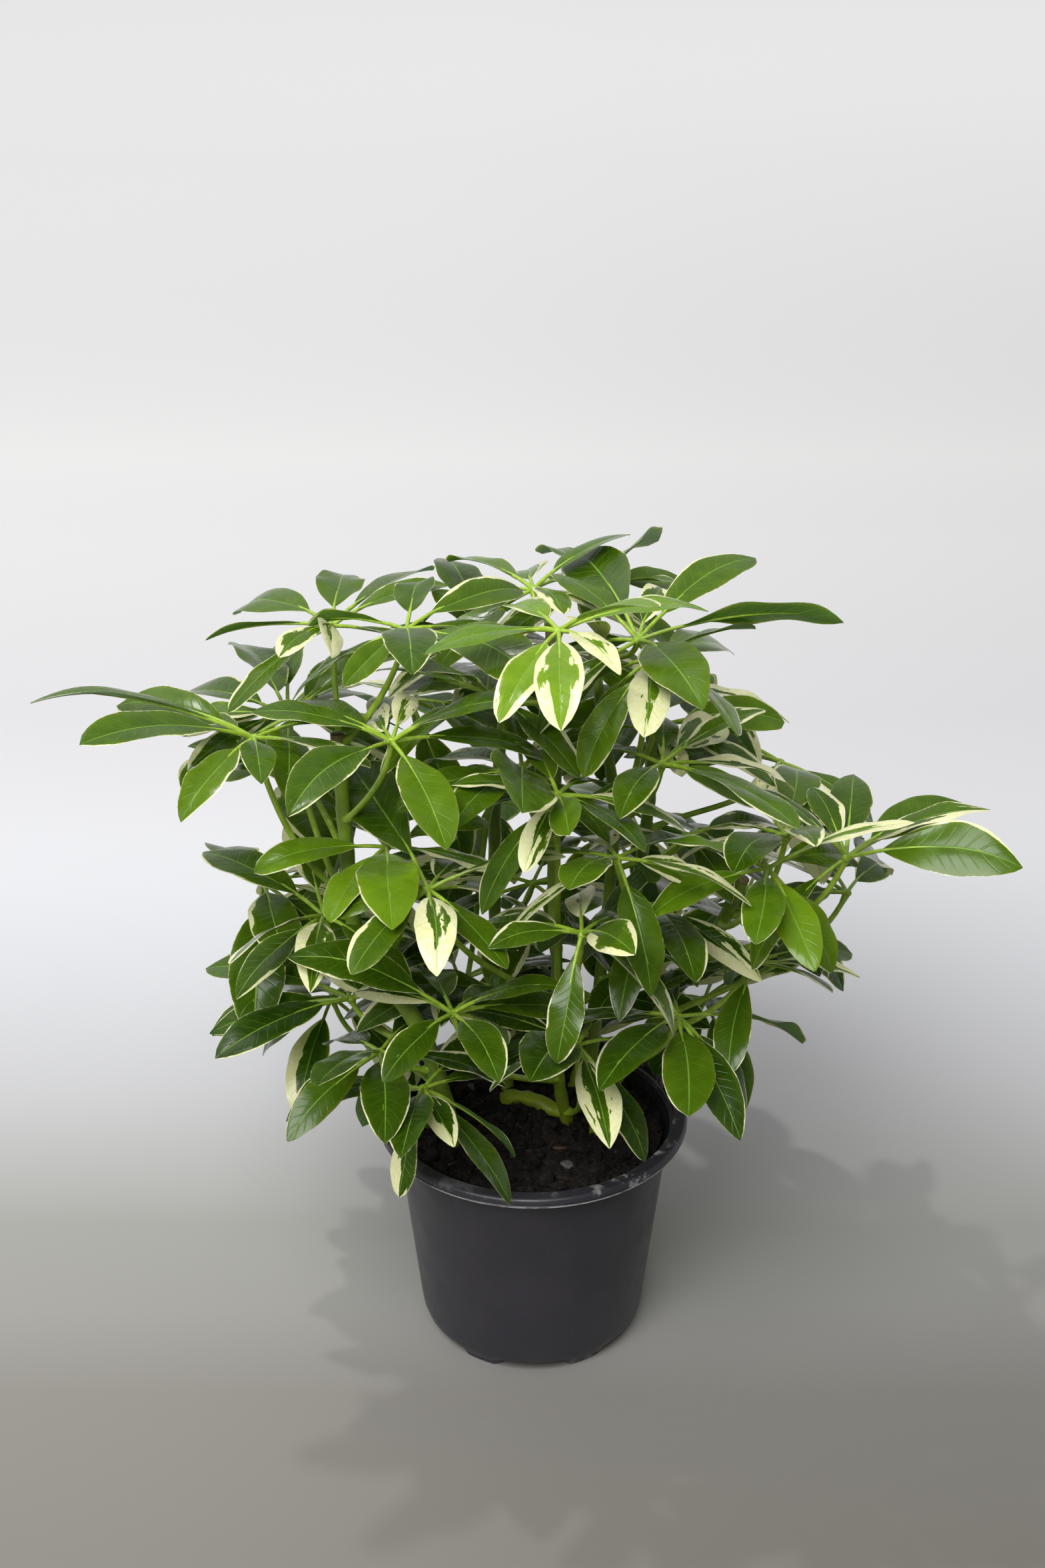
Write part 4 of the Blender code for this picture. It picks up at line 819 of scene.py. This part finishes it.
def leaflet_path(hub, heading, pitch, reach, roll, way, curl):
    """Centre, side and upward direction at one place along a leaflet."""
    turn, tip = math.radians(heading), math.radians(pitch)
    toward = Vector((math.cos(turn) * math.cos(tip), math.sin(turn) * math.cos(tip), math.sin(tip)))
    side = Vector((-math.sin(turn), math.cos(turn), 0))
    rise = toward.cross(side)
    side = Matrix.Rotation(math.radians(roll), 3, toward) @ side
    beyond = max(0.0, way - 0.62)
    centre = hub + toward * reach * way + rise * reach * (ARCH * 4 * way * (1 - way) - curl * beyond * beyond)
    slope = (toward + rise * (ARCH * 4 * (1 - 2 * way) - 2 * curl * beyond)).normalized()
    return centre, side, slope.cross(side).normalized()


def add_blade(bm, layers, hub, leaflet, young, breadth, rng):
    """A leaflet's blade: two thin sheets that meet at the edge, folded a little along the midrib."""
    heading, pitch, reach, roll, cream = leaflet
    reach = reach * CM
    widest = BLADE_HALF_WIDTH * breadth * reach * rng.uniform(0.88, 1.12)
    widest *= 1 - STUNTING * max(0, cream - 3)
    swell = rng.uniform(0.72, 0.98)
    blunt = rng.uniform(0.55, 0.85)
    peak = swell / (swell + blunt)
    scale = 1 / (peak ** swell * (1 - peak) ** blunt)
    notch = rng.uniform(0.02, 0.045) if rng.random() < 0.35 else 0.0
    fold = math.radians(rng.uniform(4, 15))
    cup = rng.uniform(0.02, 0.12)
    curl = rng.uniform(0.0, 0.5)
    twist = rng.uniform(-12, 12)
    waves = rng.uniform(1.2, 2.6)
    phase = rng.uniform(0, 6.3)
    wave_size = rng.uniform(0.01, 0.05)
    sway = rng.uniform(-0.025, 0.025)
    seed = rng.random()
    rows = []
    for j in range(BLADE_ROWS + 1):
        t = j / BLADE_ROWS
        t = t + 0.035 * math.sin(math.tau * t)
        way = BLADE_START + (1 - BLADE_START) * t
        half = widest * scale * max(t, 1e-4) ** swell * max(1 - t, 1e-4) ** blunt
        half *= 1 + 0.012 * math.sin(t * 26 + phase)
        centre, side, up = leaflet_path(hub, heading, pitch, reach, roll + twist * t, way, curl)
        centre = centre + side * sway * reach * math.sin(math.pi * t)
        rows.append((t, max(half, BLADE_EDGE), centre, side, up))
    both = []
    for under in (0, 1):
        fresh = bmesh.ops.create_grid(bm, x_segments=BLADE_COLUMNS, y_segments=BLADE_ROWS, size=1,
                                      calc_uvs=True)["verts"]
        faces = list({f for v in fresh for f in v.link_faces})
        for vert in fresh:
            j = round((vert.co.y + 1) / 2 * BLADE_ROWS)
            u = vert.co.x
            t, half, centre, side, up = rows[j]
            edge = abs(u) ** 1.15
            u = math.copysign(edge, u)
            pull = notch * reach * (1 - edge) ** 2 * max(0.0, (t - 0.8) / 0.2) ** 2
            lift = half * (math.sin(fold) * edge - cup * edge * edge)
            ripple = math.sin(waves * math.pi * t * 2 + phase + (2 if u > 0 else 0))
            lift += half * wave_size * 2 * edge ** 2 * ripple
            thick = BLADE_THICKNESS / 2 * (1 - edge ** 3)
            groove = 0.25 * MM * math.exp(-(u / 0.09) ** 2) * (1 - t)
            lift += (thick - groove) if under == 0 else -thick
            spot = centre + side * half * u * math.cos(fold) + up * lift
            if pull:
                spot -= (centre - rows[j - 1][2]).normalized() * pull
            vert.co = spot
            vert[layers["cream"]] = cream / 9
            vert[layers["young"]] = young
            vert[layers["seed"]] = seed
        for face in faces:
            face[layers["under"]] = float(under)
        if under == 0:
            bmesh.ops.reverse_faces(bm, faces=faces)
        both += fresh
    bmesh.ops.remove_doubles(bm, verts=both, dist=0.002 * MM)


leaf_finish = leaf_skin()
stalk_finish = stalk_skin()
rng = random.Random(11)
for number, (stem, height, hub, leaflets) in enumerate(LEAVES, 1):
    name = f"leaf_{number:02d}"
    hub = Vector(hub) * CM
    young = YOUNG.get(number, max(0.0, min(0.38, (hub.z - 0.15) * 1.6)))
    bm = bmesh.new()
    bm.loops.layers.uv.new("blade")
    layers = {key: bm.verts.layers.float.new(key) for key in ("cream", "young", "seed")}
    layers["under"] = bm.faces.layers.float.new("under")
    breadth = INNER_BREADTH if number >= FIRST_INNER_LEAF else 1.0
    for leaflet in leaflets:
        own_young = min(1.0, max(0.0, young + rng.uniform(-0.07, 0.07)))
        add_blade(bm, layers, hub, leaflet, own_young, breadth, rng)
    centre, along, radius = stem_at(stem, height * CM)
    line, top = stalk_curve(hub, centre, along, radius)
    count = len(line) - 1
    shares = [i / count for i in range(count + 1)]
    radii = [(1.25 + 0.3 * share + 1.1 * max(0.0, share - 0.86) / 0.14) * MM for share in shares]
    radii[0] = 1.9 * MM
    rod(bm, line, radii, STALK_SIDES, material=1)
    knob = bmesh.ops.create_uvsphere(bm, u_segments=16, v_segments=10, radius=KNOB_RADIUS)["verts"]
    place = top.to_track_quat("Z", "Y").to_matrix()
    for vert in knob:
        vert.co *= 1 + 0.12 * noise.noise(vert.co / (1.5 * MM) + hub * 900)
        vert.co.z *= 0.75
        vert.co = place @ vert.co + hub
    for face in {f for v in knob for f in v.link_faces}:
        face.material_index = 1
    for heading, pitch, reach, roll, _ in leaflets:
        ways = [0.02 + 0.78 * k / 11 for k in range(12)]
        line, radii = [], []
        for way in ways:
            spot, _, up = leaflet_path(hub, heading, pitch, reach * CM, roll, way, 0)
            inside = max(0.0, way - BLADE_START + 0.02)
            line.append(spot - up * min(0.35 * MM, inside * 4 * MM))
            radii.append(max(0.14, 0.95 - 1.25 * max(0.0, way - 0.14)) * MM)
        rod(bm, line, radii, LEAFLET_STALK_SIDES, material=1)
    # only the blades have a seed, so the stalks and the knob take the leaf's own age here
    for vert in bm.verts:
        if vert[layers["seed"]] == 0.0:
            vert[layers["young"]] = young
    leaf = mesh_piece(name + "_foliage", bm, [leaf_finish, stalk_finish], 55)
    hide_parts(name)
    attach(leaf, "root")

# -----------------------------------------------------------------------------
# Studio: a pale paper sweep with painted shade that turns it darker and warmer toward the front and
# darker on the right, and a painted glow at its far end, in a dim room that is a little brighter behind.
# A big soft box lights it from the front, a window from behind on the left, and a lamp overhead casts the
# faint shadow of the leaves.  The camera looks down from the front.

FLOOR_HALF = 9.0
CAMERA_PLACE = Vector((-0.0049, -0.8865, 0.7125))
CAMERA_DIP = math.radians(25.4)
# colour of the painted glow given off by the far paper
PAPER_PAINTED_GLOW = (1.0, 0.99, 1.0, 1)
# The paper's painted shade and light are laid out from the camera's place, so they suit this camera only.
# Each row is the slope of the line of sight from the camera down to the paper, and the colour painted on the
# paper there, darker in front as painted shade.
PAPER_PAINTED_LIGHT_TONES = [(0.110, 0.675, 0.672, 0.672), (0.165, 0.668, 0.660, 0.664), (0.222, 0.744, 0.733, 0.739),
               (0.261, 0.811, 0.805, 0.808), (0.303, 0.881, 0.881, 0.881), (0.345, 0.825, 0.825, 0.841),
               (0.389, 0.749, 0.749, 0.764), (0.435, 0.694, 0.691, 0.715), (0.507, 0.701, 0.706, 0.733),
               (0.532, 0.682, 0.688, 0.714), (0.583, 0.606, 0.613, 0.637), (0.636, 0.527, 0.530, 0.551),
               (0.663, 0.486, 0.488, 0.498), (0.691, 0.426, 0.426, 0.426), (0.749, 0.314, 0.312, 0.294),
               (0.809, 0.293, 0.289, 0.271), (0.871, 0.238, 0.227, 0.208), (0.936, 0.222, 0.213, 0.190),
               (1.000, 0.211, 0.200, 0.177)]


def studio_floor():
    material, tree, shader = new_material("studio floor")
    x, y, _ = parts_of(tree, object_place(tree))
    away = sums(tree, "MAXIMUM", sums(tree, "SUBTRACT", y, CAMERA_PLACE.y), 0.3)
    near = sums(tree, "DIVIDE", CAMERA_PLACE.z, away)
    # painted shade and light: the paper's colour follows the slope from the camera, darker and warmer in
    # front
    ramp = tree.nodes.new("ShaderNodeValToRGB")
    tree.links.new(near, ramp.inputs[0])
    stops = ramp.color_ramp.elements
    while len(stops) < len(PAPER_PAINTED_LIGHT_TONES):
        stops.new(0.5)
    for stop, (slope, *tone) in zip(stops, PAPER_PAINTED_LIGHT_TONES):
        stop.position = slope
        stop.color = (*tone, 1)
    # painted shade: the paper darkens toward black on the right, more so toward the front
    right = step(tree, x, -0.20, 0.30, 0, 0.20)
    shade = times(tree, right, step(tree, near, 0.45, 0.85, 0.1, 1.0))
    colour = blend(tree, shade, ramp.outputs[0], (0.0, 0.0, 0.0))
    tree.links.new(colour, shader.inputs["Base Color"])
    shader.inputs["Roughness"].default_value = 0.6
    shader.inputs["Specular IOR Level"].default_value = 0.25
    # painted glow: the far paper gives off light of its own, though it is no lamp
    shader.inputs["Emission Color"].default_value = PAPER_PAINTED_GLOW
    tree.links.new(step(tree, near, 0.10, 0.34, 0.50, 0.0), shader.inputs["Emission Strength"])
    return material


bm = bmesh.new()
bmesh.ops.create_grid(bm, x_segments=4, y_segments=4, size=FLOOR_HALF)
bmesh.ops.translate(bm, verts=bm.verts, vec=(0, FLOOR_HALF - 1.6, 0))
floor = mesh_piece("studio_floor", bm, [studio_floor()])

world = bpy.data.worlds.new("studio")
bpy.context.scene.world = world
world.use_nodes = True
room_tree = world.node_tree
sky = room_tree.nodes["Background"]
toward = room_tree.nodes.new("ShaderNodeSeparateXYZ")
room_tree.links.new(room_tree.nodes.new("ShaderNodeTexCoord").outputs["Generated"], toward.inputs[0])
behind = sums(room_tree, "MULTIPLY_ADD", toward.outputs["Z"], 0.55, toward.outputs["Y"])
room_tree.links.new(step(room_tree, behind, -0.45, 0.75, 0.15, 0.50), sky.inputs["Strength"])
sky.inputs["Color"].default_value = (1.0, 1.0, 1.0, 1)


def soft_light(name, place, aim, width, height, power, colour):
    """A rectangular soft light turned toward a point."""
    light = bpy.data.lights.new(name, "AREA")
    light.shape = "RECTANGLE"
    light.size, light.size_y = width, height
    light.energy = power
    light.color = colour
    lamp = bpy.data.objects.new(name, light)
    lamp.location = place
    lamp.rotation_euler = (Vector(aim) - Vector(place)).to_track_quat("-Z", "Y").to_euler()
    bpy.context.scene.collection.objects.link(lamp)


soft_light("window", (-2.0, 2.1, 2.9), (0, 0, 0.25), 2.2, 1.8, 14, (1.0, 0.99, 0.97))
soft_light("window_edge", (-0.87, 0.43, 2.6), (0, 0, 0.2), 0.08, 0.08, 14, (1.0, 0.98, 0.95))
soft_light("front_fill", (-0.7, -1.9, 2.4), (0, 0, 0.1), 1.8, 1.8, 113, (1.0, 1.0, 1.0))

camera = bpy.data.objects.new("camera", bpy.data.cameras.new("camera"))
camera.data.lens = 50
camera.data.sensor_width = 36
camera.location = CAMERA_PLACE
camera.rotation_euler = (math.pi / 2 - CAMERA_DIP, 0, 0)
bpy.context.scene.collection.objects.link(camera)
bpy.context.scene.camera = camera
bpy.context.scene.view_settings.view_transform = "Standard"
